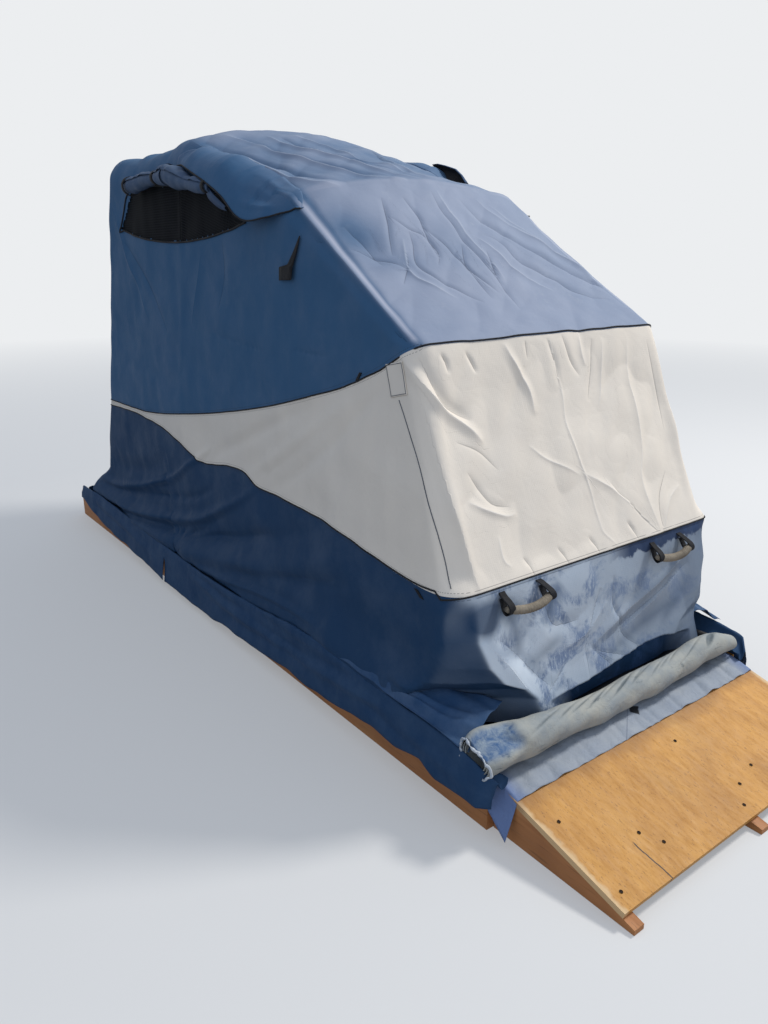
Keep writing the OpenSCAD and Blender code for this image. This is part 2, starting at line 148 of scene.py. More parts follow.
def new_tree(owner):
    """The empty node tree of a world or a material."""
    owner.use_nodes = True
    owner.node_tree.nodes.clear()
    return owner.node_tree


def seen_straight(tree):
    """1 for the camera, for reflections and for what shows through glass, and 0 for other light."""
    ray = put(tree, "LightPath").outputs
    seen = maths(tree, "MAXIMUM", ray["Is Camera Ray"], ray["Is Glossy Ray"])
    return maths(tree, "MAXIMUM", seen, ray["Is Transmission Ray"])


# %% World, lamps and floor
PALE = linear(236, 238, 240)
FLOOR_RADIUS, FLOOR_DEPTH = 30, 0.001
scene.view_settings.view_transform = "Standard"
world = bpy.data.worlds.new("studio")
scene.world = world
tree = new_tree(world)
light = put(tree, "Background", {"Color": linear(216, 231, 255), "Strength": 0.63})
shown = put(tree, "Background", {"Color": PALE, "Strength": 1})
both = put(tree, "MixShader", {0: seen_straight(tree), 1: light.outputs[0], 2: shown.outputs[0]})
put(tree, "OutputWorld", {"Surface": both.outputs[0]})


def lamp(name, place, aim, size, watts, colour):
    """A round lamp at a place, turned to the point that it lights."""
    light = bpy.data.lights.new(name, "AREA")
    light.shape = "DISK"
    light.size = size
    light.energy = watts
    light.color = colour
    holder = bpy.data.objects.new(name, light)
    scene.collection.objects.link(holder)
    holder.location = place
    holder.rotation_euler = (Vector(aim) - Vector(place)).to_track_quat("-Z", "Y").to_euler()


lamp("key", (5.2, -2.6, 7.4), (0, -0.3, 0.8), 1.7, 690, (1, 0.965, 0.91))
lamp("fill", (-3.5, -6.5, 3.0), (0, -0.5, 0.9), 4.0, 60, (0.95, 0.97, 1))

bm = bmesh.new()
bmesh.ops.create_circle(bm, cap_ends=True, segments=64, radius=FLOOR_RADIUS)
floor_mesh = bpy.data.meshes.new("floor")
bm.to_mesh(floor_mesh)
bm.free()
floor = bpy.data.objects.new("floor", floor_mesh)
scene.collection.objects.link(floor)
floor.location.z = -FLOOR_DEPTH

studio = bpy.data.materials.new("pale_floor")
tree = new_tree(studio)
away = put(tree, "VectorMath", {0: object_place(tree)}, operation="LENGTH").outputs["Value"]
seen = seen_straight(tree)
near_colour = mixed(tree, seen, linear(168, 167, 165), linear(204, 204, 203))
near = put(tree, "BsdfDiffuse", {"Color": near_colour})
far = put(tree, "Emission", {"Color": PALE, "Strength": 1})
share = times(tree, seen, spread(tree, away, 3, 13, 0.3, 1))
both = put(tree, "MixShader", {0: share, 1: near.outputs[0], 2: far.outputs[0]})
put(tree, "OutputMaterial", {"Surface": both.outputs[0]})
floor_mesh.materials.append(studio)
print("floor, world and", len(bpy.data.lights), "lamps")

# %% [markdown]
# ## Wood
#
# The ramp and deck are weathered softwood plywood: fine short ticks of grain that run down the slope,
# a faint broad figure and rain stains. The boards are orange-brown sawn timber. Each is noise pulled
# out along the grain at three sizes, over a slow noise for the stains. The ramp also has a paler strip
# where its long edges are rubbed, a painted shadow under the cloth flap, and a split near its foot.

# %% Wood finishes
def shader_for(name, roughness):
    """A new material, its node tree and its main shader."""
    material = bpy.data.materials.new(name)
    tree = new_tree(material)
    shader = put(tree, "BsdfPrincipled", {"Roughness": roughness})
    put(tree, "OutputMaterial", {"Surface": shader.outputs[0]})
    return material, tree, shader


def bumped(tree, shader, height, strength, distance):
    """Let a height shape the light on a surface."""
    bump = put(tree, "Bump", {"Height": height, "Strength": strength, "Distance": distance})
    feed(tree, shader, {"Normal": bump.outputs[0]})


def noise(tree, vector, scale, detail=3.0, roughness=0.5, distortion=0.0):
    inputs = {"Vector": vector, "Scale": scale, "Detail": detail, "Roughness": roughness,
              "Distortion": distortion}
    return put(tree, "TexNoise", inputs).outputs[0]


def scaled(tree, vector, across, along, up):
    return put(tree, "Mapping", {"Vector": vector, "Scale": (across, along, up)}).outputs[0]


def ramp_wear(tree, place, colour):
    """Rubbed edges, a painted shadow under the cloth flap, and a split near the foot."""
    x, y, _ = put(tree, "SeparateXYZ", {0: place}).outputs
    edge = maths(tree, "MULTIPLY_ADD", noise(tree, place, 30.0, 4.0), 0.03, maths(tree, "ABSOLUTE", x))
    colour = mixed(tree, spread(tree, edge, 0.606, 0.618, 0, 0.75), colour, linear(206, 178, 136))
    # Painted shadow of the cloth flap, darker towards the deck
    flap_shadow = maths(tree, "MULTIPLY_ADD", noise(tree, place, 7.0, 4.0), 0.12, y)
    colour = mixed(tree, spread(tree, flap_shadow, -1.90, -1.84, 0, 0.6), colour, linear(112, 74, 40))
    wander = noise(tree, scaled(tree, place, 0, 9, 0), 1.0, 3.0)
    beside = apart(tree, maths(tree, "MULTIPLY_ADD", wander, 0.024, x), -0.402)
    split = times(tree, spread(tree, beside, 0.0014, 0.003, 1, 0), spread(tree, y, -2.17, -2.16, 1, 0))
    return mixed(tree, split, colour, linear(46, 30, 20))


WOOD_ROUGHNESS, RAIN_STAIN = 0.62, 0.4


def wood(name, pale, dark, grain, ramp=False):
    """Timber whose grain runs along the axis that has the small number in grain."""
    material, tree, shader = shader_for(name, WOOD_ROUGHNESS)
    place = object_place(tree)
    figure = noise(tree, scaled(tree, place, *[g * 0.25 for g in grain]), 1.0, 4.0, 0.55, 0.8)
    fibre = noise(tree, scaled(tree, place, *grain), 1.0, 5.0, 0.62, 0.3)
    ticks = noise(tree, scaled(tree, place, *[g * 3.6 for g in grain]), 1.0, 2.0, 0.6)
    colour = mixed(tree, spread(tree, figure, 0.32, 0.68), pale, mixed(tree, 0.45, pale, dark))
    colour = mixed(tree, spread(tree, fibre, 0.5, 0.8, 0, 0.5), colour, dark)
    colour = mixed(tree, spread(tree, ticks, 0.6, 0.7, 0, 0.65), colour, linear(112, 74, 38))
    rained = spread(tree, noise(tree, place, 3.1, 4.0, 0.6, 0.5), 0.42, 0.74, 0, RAIN_STAIN)
    colour = mixed(tree, rained, colour, linear(146, 116, 84), "MULTIPLY")
    bleached = spread(tree, noise(tree, scaled(tree, place, 5, 2, 5), 1.0, 4.0), 0.52, 0.8, 0, 0.3)
    colour = mixed(tree, bleached, colour, linear(206, 166, 104))
    if ramp:
        colour = ramp_wear(tree, place, colour)
    rough = spread(tree, fibre, 0.2, 0.8, WOOD_ROUGHNESS - 0.08, WOOD_ROUGHNESS + 0.16)
    feed(tree, shader, {"Base Color": colour, "Roughness": rough})
    height = maths(tree, "MULTIPLY_ADD", ticks, -0.6, times(tree, fibre, -0.6))
    bumped(tree, shader, height, 0.3, 0.0012)
    return material


plywood = wood("weathered_plywood", linear(190, 138, 76), linear(156, 104, 52), (85, 6.5, 85))
ramp_wood = wood("weathered_ramp_plywood", linear(196, 142, 64), linear(160, 108, 44), (85, 7.5, 85), True)
timber_along = wood("sawn_timber_lengthwise", linear(176, 118, 68), linear(128, 78, 42), (42, 2.4, 42))
timber_across = wood("sawn_timber_crosswise", linear(178, 120, 70), linear(130, 80, 44), (2.4, 42, 42))


def give(material, *nodes):
    """Paint CAD nodes, whose meshes stay as they are."""
    for name in nodes:
        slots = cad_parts[name].data.materials
        slots.clear()
        slots.append(material)


give(plywood, "deck_sheet_front", "deck_sheet_middle", "deck_sheet_rear")
give(ramp_wood, "ramp_sheet")
give(timber_along, "side_board_left", "side_board_right", "ramp_stringers")
give(timber_across, "end_board_front", "end_board_rear", "floor_joists", "ramp_header")
print("wood on 11 nodes")

# %% [markdown]
# ## Steel
#
# The bows and rails are black powder coat, which has a slight orange-peel surface. The brackets and
# pins are zinc plate, with the faint patches that plating leaves.

# %% Steel finishes
coat, tree, shader = shader_for("black_powder_coat", 0.42)
place = object_place(tree)
peel = noise(tree, place, 900.0, 2.0)
dust = spread(tree, noise(tree, place, 7.0, 5.0), 0.45, 0.8)
dusted = mixed(tree, times(tree, dust, 0.3), linear(30, 31, 34), linear(92, 88, 82))
feed(tree, shader, {"Base Color": dusted, "Roughness": spread(tree, dust, 0, 1, 0.38, 0.6)})
bumped(tree, shader, peel, 0.15, 0.0004)

zinc, tree, shader = shader_for("zinc_plate", 0.4)
patches = put(tree, "TexVoronoi", {"Vector": object_place(tree), "Scale": 140.0}).outputs["Color"]
tone = put(tree, "SeparateColor", {0: patches}).outputs[0]
plate = mixed(tree, tone, linear(170, 172, 175), linear(203, 204, 206))
feed(tree, shader, {"Base Color": plate, "Roughness": spread(tree, tone, 0, 1, 0.32, 0.5), "Metallic": 1})

give(coat, "rail_left", "rail_right", "rail_rear", "rear_bow", "roof_bow", "brow_bow", "upper_front_bow",
     "lower_front_bow", "hem_bow")
give(zinc, "pivot_bracket_left", "pivot_bracket_right", "pivot_pin_left", "pivot_pin_right")
print("steel on 13 nodes")

# %% [markdown]
# ## The skin of the cover
#
# The whole cover is worked out first as one surface of rows and columns, and cut into its bays later,
# so that neighbouring bays share their edge exactly. A row lies over each bow, from the left foot over
# the crown to the right foot, and the rows between two bows run straight from one to the other, as
# stretched cloth does. All rows meet near the pivot pins, which is where the real cover folds.

# %% Rows over the bows
SIDES = ((-1, "left"), (1, "right"))
FAR = 9.0  # more than any distance on the shelter
PIN = np.array([0, 0.3, 0.205])
# The bows from the rear to the front, and the front edge: the angle about the pins at the crown,
# where 0 is level ahead; then how far each bow reaches, how wide it is, and how its corners bend
ANGLE = [112, 85.45, 58.07, 33.8, 13.1, 0]
REACH = [1.985, 1.873, 1.912, 2.017, 2.006]
HALF_WIDTH = [0.538, 0.538, 0.535, 0.553, 0.622]
BEND = [0.12, 0.12, 0.085, 0.05, 0.055]
TILT = [14, 14, 14, 0, 0]
OVER = 0.018
SIDE_COLUMNS = 210
CROWN_SHARE, BEND_SHARE = 0.4, 0.08
PIN_GAP = 0.012
FOOT, REAR_FOOT = 0.622, 0.626


def unit(value):
    """The value, held between 0 and 1."""
    return np.clip(value, 0, 1)


def fan_of(points):
    """The angle of each point about the pins, in degrees."""
    return np.degrees(np.arctan2(points[..., 2] - PIN[2], PIN[1] - points[..., 1]))


def pin_distance(points):
    return np.hypot(points[..., 1] - PIN[1], points[..., 2] - PIN[2])


def row_over(foot, reach, half, bend, tilt, angle):
    """One row of the cover: points from the left foot over the crown to the right foot."""
    place = np.linspace(-1, 1, 2 * SIDE_COLUMNS + 1)
    side, away = np.sign(place), np.abs(place)
    x, r = np.zeros_like(away), np.zeros_like(away)
    t = radians(tilt)
    crown = away <= CROWN_SHARE
    share = away[crown] / CROWN_SHARE
    top = reach - bend
    x[crown], r[crown] = (half - bend) * share, reach
    if tilt:
        big = (half - bend) / sin(t) + bend
        top = reach - big + (big - bend) * cos(t)
        x[crown], r[crown] = big * np.sin(t * share), reach - big + big * np.cos(t * share)
    corner = (away > CROWN_SHARE) & (away <= CROWN_SHARE + BEND_SHARE)
    turn = t + (away[corner] - CROWN_SHARE) / BEND_SHARE * (pi / 2 - t)
    x[corner], r[corner] = half - bend + bend * np.sin(turn), top + bend * np.cos(turn)
    leg = away > CROWN_SHARE + BEND_SHARE
    share = (away[leg] - CROWN_SHARE - BEND_SHARE) / (1 - CROWN_SHARE - BEND_SHARE)
    x[leg], r[leg] = half + (foot - half) * share, top + (PIN_GAP - top) * share
    a = np.radians(np.interp(r, *angle) if np.ndim(angle) else angle)
    return np.stack([x * side, PIN[1] - r * np.cos(a), PIN[2] + r * np.sin(a)], 1)


# Lower edges, as the distance from the pin and the angle there
FRONT_EDGE = ([0.1, 0.34, 0.6, 0.84, 1.12, 1.48, 1.66, 1.74, 1.95, 2.04, 2.06],
              [0.2, 0.5, 1.7, 1.7, 2.0, 1.7, 1.5, 1.3, 0.6, -0.4, -0.6])
REAR_EDGE = ([0.1, 0.35, 0.75, 1.1, 1.33], [179.8, 179.5, 179.4, 179.2, 179.4])
rows_at = [row_over(REAR_FOOT, 1.33, REAR_FOOT, 0.1, 0, REAR_EDGE),
           row_over(REAR_FOOT, 1.1, 0.606, 0.1, 0, 168.7)]
for k, (reach, half, bend) in enumerate(zip(REACH, HALF_WIDTH, BEND)):
    rows_at.append(row_over(FOOT, reach + OVER, half + OVER, bend + OVER, TILT[k], ANGLE[k]))
rows_at.append(row_over(FOOT, 2.06, 0.64, 0.073, 0, FRONT_EDGE))
print("a row has", len(rows_at[0]), "points")

# %% The whole surface
STEPS = [20, 60, 60, 84, 112, 104, 108]
strips = []
for k, steps in enumerate(STEPS):
    share = (np.arange(steps) / steps)[:, None, None]
    strips.append(rows_at[k] * (1 - share) + rows_at[k + 1] * share)
skin = np.concatenate(strips + [rows_at[-1][None]])
row_of = np.concatenate([[0], np.cumsum(STEPS)])
fan_angle = fan_of(skin)

# The flat facet across each front corner: angle about the pin, and where it starts on the side and
# ends on the front, each as a distance from the middle plane and how far it lies behind the crown
FACET_AT = [0, 2.2, 3.4, 4.6, 6.5, 9.1, 11.9, 13.1, 20, 27, 33.8]
FACET_SIDE = [(0.62, 0.26), (0.625, 0.25), (0.635, 0.234), (0.662, 0.198), (0.655, 0.151), (0.645, 0.095),
              (0.636, 0.055), (0.622, 0.046), (0.607, 0.040), (0.592, 0.036), (0.575, 0.032)]
FACET_FRONT = [(0.36, 0.03), (0.37, 0.02), (0.40, 0.008), (0.46, -0.016), (0.52, -0.011), (0.56, -0.007),
               (0.56, -0.004), (0.540, -0.001), (0.552, -0.001), (0.558, -0.001), (0.562, -0.001)]
slanted = fan_angle < FACET_AT[-1]
radius = pin_distance(skin)
crown = np.interp(fan_angle, fan_angle[::-1, SIDE_COLUMNS], radius[::-1, SIDE_COLUMNS])
side_at, front_at = (np.stack([np.interp(fan_angle, FACET_AT, [p[0] for p in edge]),
                               crown - np.interp(fan_angle, FACET_AT, [p[1] for p in edge])], 2)
                     for edge in (FACET_SIDE, FACET_FRONT))
chord = front_at - side_at
chord /= np.linalg.norm(chord, axis=2, keepdims=True)
spot = np.stack([np.abs(skin[..., 0]), radius], 2) - side_at
past = spot[..., 0] * chord[..., 1] - spot[..., 1] * chord[..., 0]
past = np.where(slanted, (past + np.sqrt(past**2 + 0.008**2)) / 2 - 0.001, 0).clip(0)
past *= 1 - 0.8 * np.exp(-((fan_angle - ANGLE[4]) / 1.1) ** 2)
past *= np.where(skin[..., 0] > 0, np.interp(fan_angle, [0, 5, 11], [0.3, 0.45, 1]), 1)
skin[..., 0] -= np.sign(skin[..., 0]) * past * chord[..., 1]
shrunk = (radius + past * chord[..., 0]) / np.maximum(radius, 1e-6)
skin[..., 1:] = PIN[1:] + (skin[..., 1:] - PIN[1:]) * shrunk[..., None]
print("corner facets cut up to", round(float(past.max()) * 1000), "mm deep")


def outward(points):
    """Which way the cloth faces at each point of a grid."""
    n = np.cross(np.gradient(points, axis=0), np.gradient(points, axis=1))
    n /= np.linalg.norm(n, axis=2, keepdims=True) + 1e-12
    return n if (n * (points - np.array([0, 0.2, 0.6]))).sum() > 0 else -n


facing = outward(skin)
flat_skin = skin.copy()
print("the skin has", skin.shape[0], "rows of", skin.shape[1])

# %% [markdown]
# ## Folds
#
# A stretched cover doesn't fold at random: folds run from the points that hold it, such as the bows'
# corners, and swags hang where it is slack. So each fold is one line over the cover, in millimetres,
# with a height and a width: a ridge is positive, a valley negative. The skin moves along its own
# normal by a hill over each line that fades out at both ends. Narrow folds get a sharp crest, since
# coated cloth creases like paper, and wide ones a round one.

# %% The fold lines
# Folds of the left side are laid into the right side as well, but those of the white panel aren't
FOLDS = [
    # Swags that rise over the side from its rear corner, with the hollows between them
    (19, 17, [(-609, 1495, 273), (-602, 1430, 328), (-608, 1392, 337), (-611, 1128, 352), (-611, 838, 414),
        (-611, 596, 486), (-608, 347, 571), (-602, 126, 691), (-595, -52, 785)]),
    (-14, 45, [(-605, 1225, 460), (-607, 979, 478), (-608, 676, 542), (-606, 433, 633)]),
    (-14, 18, [(-611, 1413, 318), (-614, 1127, 325), (-613, 787, 383), (-613, 436, 453), (-608, 140, 520),
        (-603, -72, 612)]),
    (26, 22, [(-614, 1535, 239), (-621, 1401, 259), (-619, 1126, 272), (-618, 854, 282), (-618, 548, 327),
        (-616, 295, 375), (-612, 82, 432), (-609, -56, 492), (-603, -306, 616), (-599, -464, 712)]),
    (-22, 20, [(-617, 1549, 225), (-626, 1498, 211), (-626, 1280, 212), (-623, 987, 237), (-620, 694, 261),
        (-620, 453, 289), (-617, 229, 324), (-616, 14, 372), (-618, -314, 455), (-617, -576, 548)]),
    (-9, 7, [(-616, 1553, 223), (-622, 1556, 209), (-626, 1439, 209)]),
    # The navy side: one broad swag, and the hollows and bulges beside it
    (20, 42, [(-626, 1104, 208), (-626, 791, 211), (-623, 460, 239), (-621, 158, 267), (-625, -123, 316),
        (-629, -414, 364), (-632, -740, 372), (-634, -952, 361)]),
    (-10, 38, [(-613, 29, 411), (-619, -535, 520), (-618, -810, 619), (-616, -968, 689)]),
    (12, 42, [(-625, -102, 307), (-630, -736, 468), (-627, -1126, 627)]),
    (-10, 25, [(-627, -220, 282), (-632, -734, 411), (-636, -1203, 554)]),
    (13, 14, [(-624, 84, 222), (-626, -141, 236), (-630, -534, 299), (-632, -815, 325), (-634, -978, 324)]),
    # Soft waves in the white band
    (-8, 30, [(-600, 55, 712), (-591, -328, 867), (-584, -696, 1024), (-579, -928, 1123)]),
    (7, 28, [(-599, -324, 701), (-589, -698, 910), (-581, -1003, 1088), (-576, -1157, 1186)]),
    (-8, 30, [(-601, -562, 718), (-597, -788, 841), (-589, -1012, 994), (-582, -1136, 1109),
        (-575, -1251, 1231)]),
    # Tucks where the side goes round to the lower front
    (-16, 13, [(-638, -1402, 309), (-638, -1413, 256), (-639, -1538, 293), (-640, -1636, 351),
        (-589, -1722, 407)]),
    (12, 10, [(-640, -1626, 348), (-639, -1602, 292), (-639, -1576, 244)]),
    (-14, 11, [(-640, -1634, 343), (-640, -1665, 314), (-616, -1722, 333), (-552, -1742, 331),
        (-440, -1741, 334)]),
    (12, 18, [(-638, -1681, 349), (-587, -1731, 366), (-512, -1738, 349)]),
    (9, 14, [(-638, -1402, 323), (-638, -1473, 314), (-639, -1547, 328)]),
    # The lower front, under the white panel
    (11, 26, [(-548, -1700, 526), (-477, -1718, 444), (-410, -1736, 358), (-335, -1757, 260)]),
    (-10, 16, [(-488, -1703, 515), (-414, -1718, 446), (-339, -1736, 361), (-276, -1749, 296)]),
    (-7, 7, [(-201, -1734, 369), (-264, -1745, 316), (-327, -1757, 260)]),
    (-8, 8, [(49, -1689, 578), (37, -1709, 487), (66, -1723, 419), (90, -1736, 361), (197, -1753, 280)]),
    (-8, 8, [(-22, -1695, 554), (-92, -1721, 430), (-112, -1736, 361), (-108, -1755, 268)]),
    (-6, 8, [(-97, -1728, 395), (-48, -1738, 350), (150, -1755, 270)]),
    (-6, 8, [(-88, -1732, 376), (-11, -1748, 303), (41, -1758, 257)]),
    (-5, 8, [(-215, -1747, 309), (-212, -1759, 250)]),
    (9, 15, [(507, -1687, 588), (290, -1705, 505), (53, -1721, 431), (-112, -1736, 361)]),
    (7, 15, [(417, -1705, 507), (254, -1718, 444), (80, -1731, 385)]),
    (7, 15, [(5, -1705, 503), (-104, -1721, 431), (-212, -1726, 407)]),
    (-7, 17, [(472, -1699, 533), (282, -1714, 465), (109, -1725, 412), (-53, -1735, 363)]),
    (-8, 22, [(-285, -1689, 580), (-252, -1708, 493), (-139, -1710, 480)]),
    # The roof: ridges and valleys that run forward to the brow
    (13, 15, [(-489, 183, 2018), (-498, -33, 1960), (-469, -246, 1916), (-461, -425, 1869),
        (-453, -533, 1840), (-418, -676, 1808), (-357, -720, 1802)]),
    (-13, 16, [(-472, 81, 2007), (-444, -119, 1959), (-417, -307, 1913), (-403, -463, 1872),
        (-377, -607, 1837), (-322, -697, 1822)]),
    (13, 15, [(-379, 103, 2037), (-317, -24, 2013), (-316, -228, 1956), (-284, -410, 1909),
        (-239, -558, 1874), (-176, -674, 1848), (-68, -728, 1835)]),
    (-12, 15, [(-319, 69, 2039), (-298, -98, 1996), (-280, -274, 1949), (-230, -430, 1911),
        (-170, -560, 1881), (-100, -662, 1857)]),
    (13, 15, [(-195, 68, 2056), (-198, -113, 2005), (-161, -280, 1961), (-103, -436, 1921),
        (-69, -598, 1877), (6, -699, 1849)]),
    (-9, 14, [(-146, 40, 2053), (-136, -140, 2003), (-85, -289, 1964), (-24, -423, 1927),
        (25, -562, 1888)]),
    (9, 14, [(-90, 66, 2064), (-4, -138, 2008), (-22, -349, 1948), (52, -439, 1922), (48, -620, 1871)]),
    (9, 14, [(117, 117, 2077), (255, 75, 2051), (234, -118, 1999), (145, -389, 1931), (94, -657, 1859)]),
    (-9, 12, [(201, 122, 2071), (277, 26, 2033), (186, -262, 1963), (127, -498, 1902)]),
    (8, 12, [(328, 106, 2048), (219, -218, 1972), (81, -606, 1874)]),
    (12, 9, [(-534, -262, 1857), (-517, -378, 1846), (-515, -500, 1814), (-516, -634, 1775)]),
    (-12, 18, [(-539, -404, 1808), (-519, -459, 1821), (-502, -558, 1809), (-486, -662, 1790)]),
    # The sloping front
    (-6, 9, [(-234, -791, 1774), (-285, -894, 1693), (-323, -957, 1644), (-360, -1029, 1589)]),
    (-4, 8, [(-264, -878, 1708), (-221, -933, 1672), (-181, -965, 1652), (-179, -1041, 1596),
        (-221, -1093, 1555)]),
    (-5, 8, [(-146, -799, 1778), (-141, -880, 1718), (-166, -958, 1659), (-193, -1059, 1582)]),
    (-6, 9, [(3, -778, 1800), (-15, -916, 1695), (-20, -1002, 1631), (-6, -1076, 1575), (-11, -1164, 1508),
        (-30, -1292, 1412)]),
    (4, 10, [(40, -765, 1809), (18, -909, 1701), (13, -995, 1636), (26, -1070, 1579), (21, -1163, 1509)]),
    (-10, 16, [(135, -793, 1783), (160, -872, 1722), (220, -947, 1662), (282, -1020, 1604),
        (365, -1072, 1559), (435, -1127, 1514), (501, -1185, 1467), (516, -1302, 1388)]),
    (6, 16, [(225, -773, 1788), (259, -849, 1728), (328, -917, 1671), (403, -985, 1614), (482, -1049, 1559),
        (507, -1153, 1485), (515, -1272, 1408)]),
    (-7, 15, [(101, -959, 1661), (152, -995, 1632), (163, -1071, 1575), (216, -1116, 1539),
        (281, -1161, 1503), (333, -1218, 1460), (468, -1255, 1427)]),
    (4, 15, [(59, -971, 1653), (86, -1033, 1606), (98, -1108, 1549), (142, -1164, 1506),
        (208, -1220, 1463)]),
    (-4, 8, [(-493, -963, 1609), (-430, -1016, 1589), (-373, -1057, 1568), (-344, -1088, 1550)]),
    (-5, 9, [(-229, -942, 1665), (-253, -997, 1623), (-298, -1075, 1563), (-263, -1144, 1516),
        (-211, -1193, 1483), (-159, -1249, 1443)]),
    (4, 9, [(-276, -969, 1640), (-343, -1092, 1547), (-309, -1167, 1496), (-247, -1222, 1460)]),
    (-4, 9, [(-153, -932, 1678), (-117, -1035, 1603), (-105, -1109, 1549), (-108, -1238, 1451)]),
    (-4, 8, [(-46, -1010, 1624), (-99, -1091, 1562), (-88, -1144, 1523), (-58, -1215, 1470)]),
    (-4, 8, [(47, -1038, 1603), (11, -1112, 1548), (-9, -1163, 1509)]),
    (-4, 9, [(-406, -1144, 1506), (-332, -1072, 1562), (-305, -1027, 1596)]),
    (4, 14, [(277, -794, 1766), (344, -889, 1688), (409, -986, 1612), (493, -1073, 1540),
        (509, -1202, 1454)]),
    (-15, 37, [(-453, -882, 1673), (-428, -960, 1627), (-423, -1060, 1560)]),
    (-4, 8, [(-544, -848, 1622), (-533, -920, 1601), (-528, -988, 1568)]),
    # Fine lines and long folds on the side, under the roof
    (-4, 7, [(-577, -33, 1271), (-574, -368, 1248), (-574, -539, 1239)]),
    (-4, 6, [(-573, -722, 1265), (-573, -945, 1260)]),
    (-7, 8, [(-555, -1283, 1366), (-553, -1315, 1351), (-549, -1346, 1338)]),
    (9, 18, [(-558, 1004, 1814), (-564, 891, 1693), (-569, 812, 1560), (-575, 670, 1414),
        (-580, 570, 1274)]),
    (-9, 20, [(-566, 852, 1640), (-571, 661, 1517), (-576, 482, 1378), (-582, 361, 1233)]),
    (6, 24, [(-565, -4, 1597), (-572, 46, 1438), (-579, 119, 1290)]),
    (-6, 26, [(-561, -197, 1631), (-566, -191, 1503), (-572, -149, 1368)]),
]
FRONT_FOLDS = [
    # The white panel and the corner above it
    (16, 16, [(-570, -1329, 1306), (-568, -1361, 1283), (-565, -1382, 1263), (-545, -1433, 1211),
        (-508, -1464, 1162), (-453, -1481, 1122), (-382, -1509, 1054)]),
    (-15, 20, [(-548, -1385, 1299), (-542, -1402, 1276), (-531, -1429, 1234), (-500, -1458, 1175),
        (-460, -1470, 1149), (-411, -1481, 1122)]),
    (11, 14, [(-560, -1400, 1215), (-562, -1440, 1150), (-562, -1479, 1060), (-560, -1545, 930),
        (-556, -1600, 830), (-550, -1642, 735), (-540, -1672, 665)]),
    (8, 13, [(-220, -1397, 1324), (-206, -1413, 1283), (-178, -1435, 1232), (-155, -1458, 1175),
        (-148, -1486, 1108)]),
    (-6, 10, [(-30, -1397, 1324), (-21, -1413, 1283), (-14, -1436, 1229), (-13, -1457, 1179)]),
    (-6, 7, [(-481, -1402, 1310), (-467, -1413, 1283), (-465, -1425, 1256)]),
    (-6, 7, [(-382, -1402, 1310), (-365, -1413, 1283), (-352, -1428, 1249)]),
    (-5, 7, [(-12, -1671, 664), (-20, -1660, 691), (-39, -1648, 721)]),
    (-5, 7, [(-160, -1673, 657), (-170, -1660, 691), (-187, -1649, 718)]),
    (-5, 7, [(-319, -1673, 655), (-321, -1660, 691), (-336, -1647, 721)]),
    (-5, 7, [(195, -1671, 664), (178, -1656, 702), (158, -1643, 731)]),
    (6, 10, [(-498, -1570, 906), (-433, -1585, 871), (-360, -1597, 843), (-317, -1596, 845)]),
    (-2, 8, [(-132, -1397, 1324), (-133, -1419, 1270)]),
    (2, 4, [(-20, -1391, 1337), (-19, -1430, 1243), (-7, -1464, 1162), (-20, -1503, 1068),
        (-12, -1531, 1000), (21, -1593, 852), (28, -1632, 758), (32, -1649, 718), (93, -1672, 661)]),
    (-4, 10, [(37, -1394, 1330), (61, -1426, 1254), (97, -1447, 1202)]),
    (4, 10, [(130, -1389, 1338), (124, -1419, 1270), (133, -1436, 1229)]),
    (4, 13, [(244, -1402, 1310), (196, -1467, 1155), (158, -1495, 1088)]),
    (-4, 12, [(188, -1402, 1310), (161, -1442, 1216), (115, -1481, 1122)]),
    (5, 15, [(377, -1406, 1301), (349, -1458, 1175), (353, -1494, 1090), (334, -1553, 948),
        (292, -1593, 852), (294, -1632, 758), (315, -1672, 660)]),
    (-6, 15, [(126, -1587, 866), (218, -1632, 758), (302, -1672, 663)]),
    (5, 14, [(-11, -1566, 917), (132, -1598, 839), (244, -1643, 731), (302, -1672, 663)]),
    (4, 13, [(331, -1671, 664), (411, -1632, 758), (492, -1616, 796)]),
    (-4, 13, [(331, -1671, 664), (352, -1629, 766), (435, -1593, 852)]),
    (2, 8, [(-203, -1521, 1024), (-140, -1542, 973), (-13, -1570, 906)]),
    (-4, 10, [(-477, -1537, 987), (-449, -1554, 947), (-405, -1579, 886), (-335, -1587, 866)]),
    (2, 10, [(-415, -1615, 798), (-422, -1643, 731), (-394, -1655, 704)]),
    (-2, 12, [(-488, -1502, 1071), (-399, -1520, 1027), (-349, -1542, 973)]),
    (-2, 14, [(483, -1412, 1288), (499, -1482, 1118), (491, -1539, 982)]),
    (2, 14, [(534, -1400, 1292), (551, -1478, 1108), (555, -1553, 939)]),
]
print(len(FOLDS) + len(FRONT_FOLDS), "folds")

# %% Lay the folds into the skin
def smooth_line(points, spacing=0.02):
    """Points at even distances on a smooth curve through the ones that are given."""
    p = np.asarray(points, float)
    p = np.concatenate([2 * p[:1] - p[1:2], p, 2 * p[-1:] - p[-2:-1]])
    line = []
    for a, b, c, d in zip(p[:-3], p[1:-2], p[2:-1], p[3:]):
        t = np.linspace(0, 1, max(2, int(np.linalg.norm(c - b) / spacing) + 1), endpoint=False)[:, None]
        line.append(0.5 * (2 * b + (c - a) * t + (2 * a - 5 * b + 4 * c - d) * t**2
                           + (3 * b - a - 3 * c + d) * t**3))
    return np.concatenate(line + [p[-2:-1]])


def beside_run(points, start, step, tiny=0.0):
    """The share of a straight run at which each point lies beside it, and how far off."""
    away = points - start
    share = unit(away @ step / (step @ step + tiny))
    return share, np.linalg.norm(away - share[:, None] * step, axis=1)


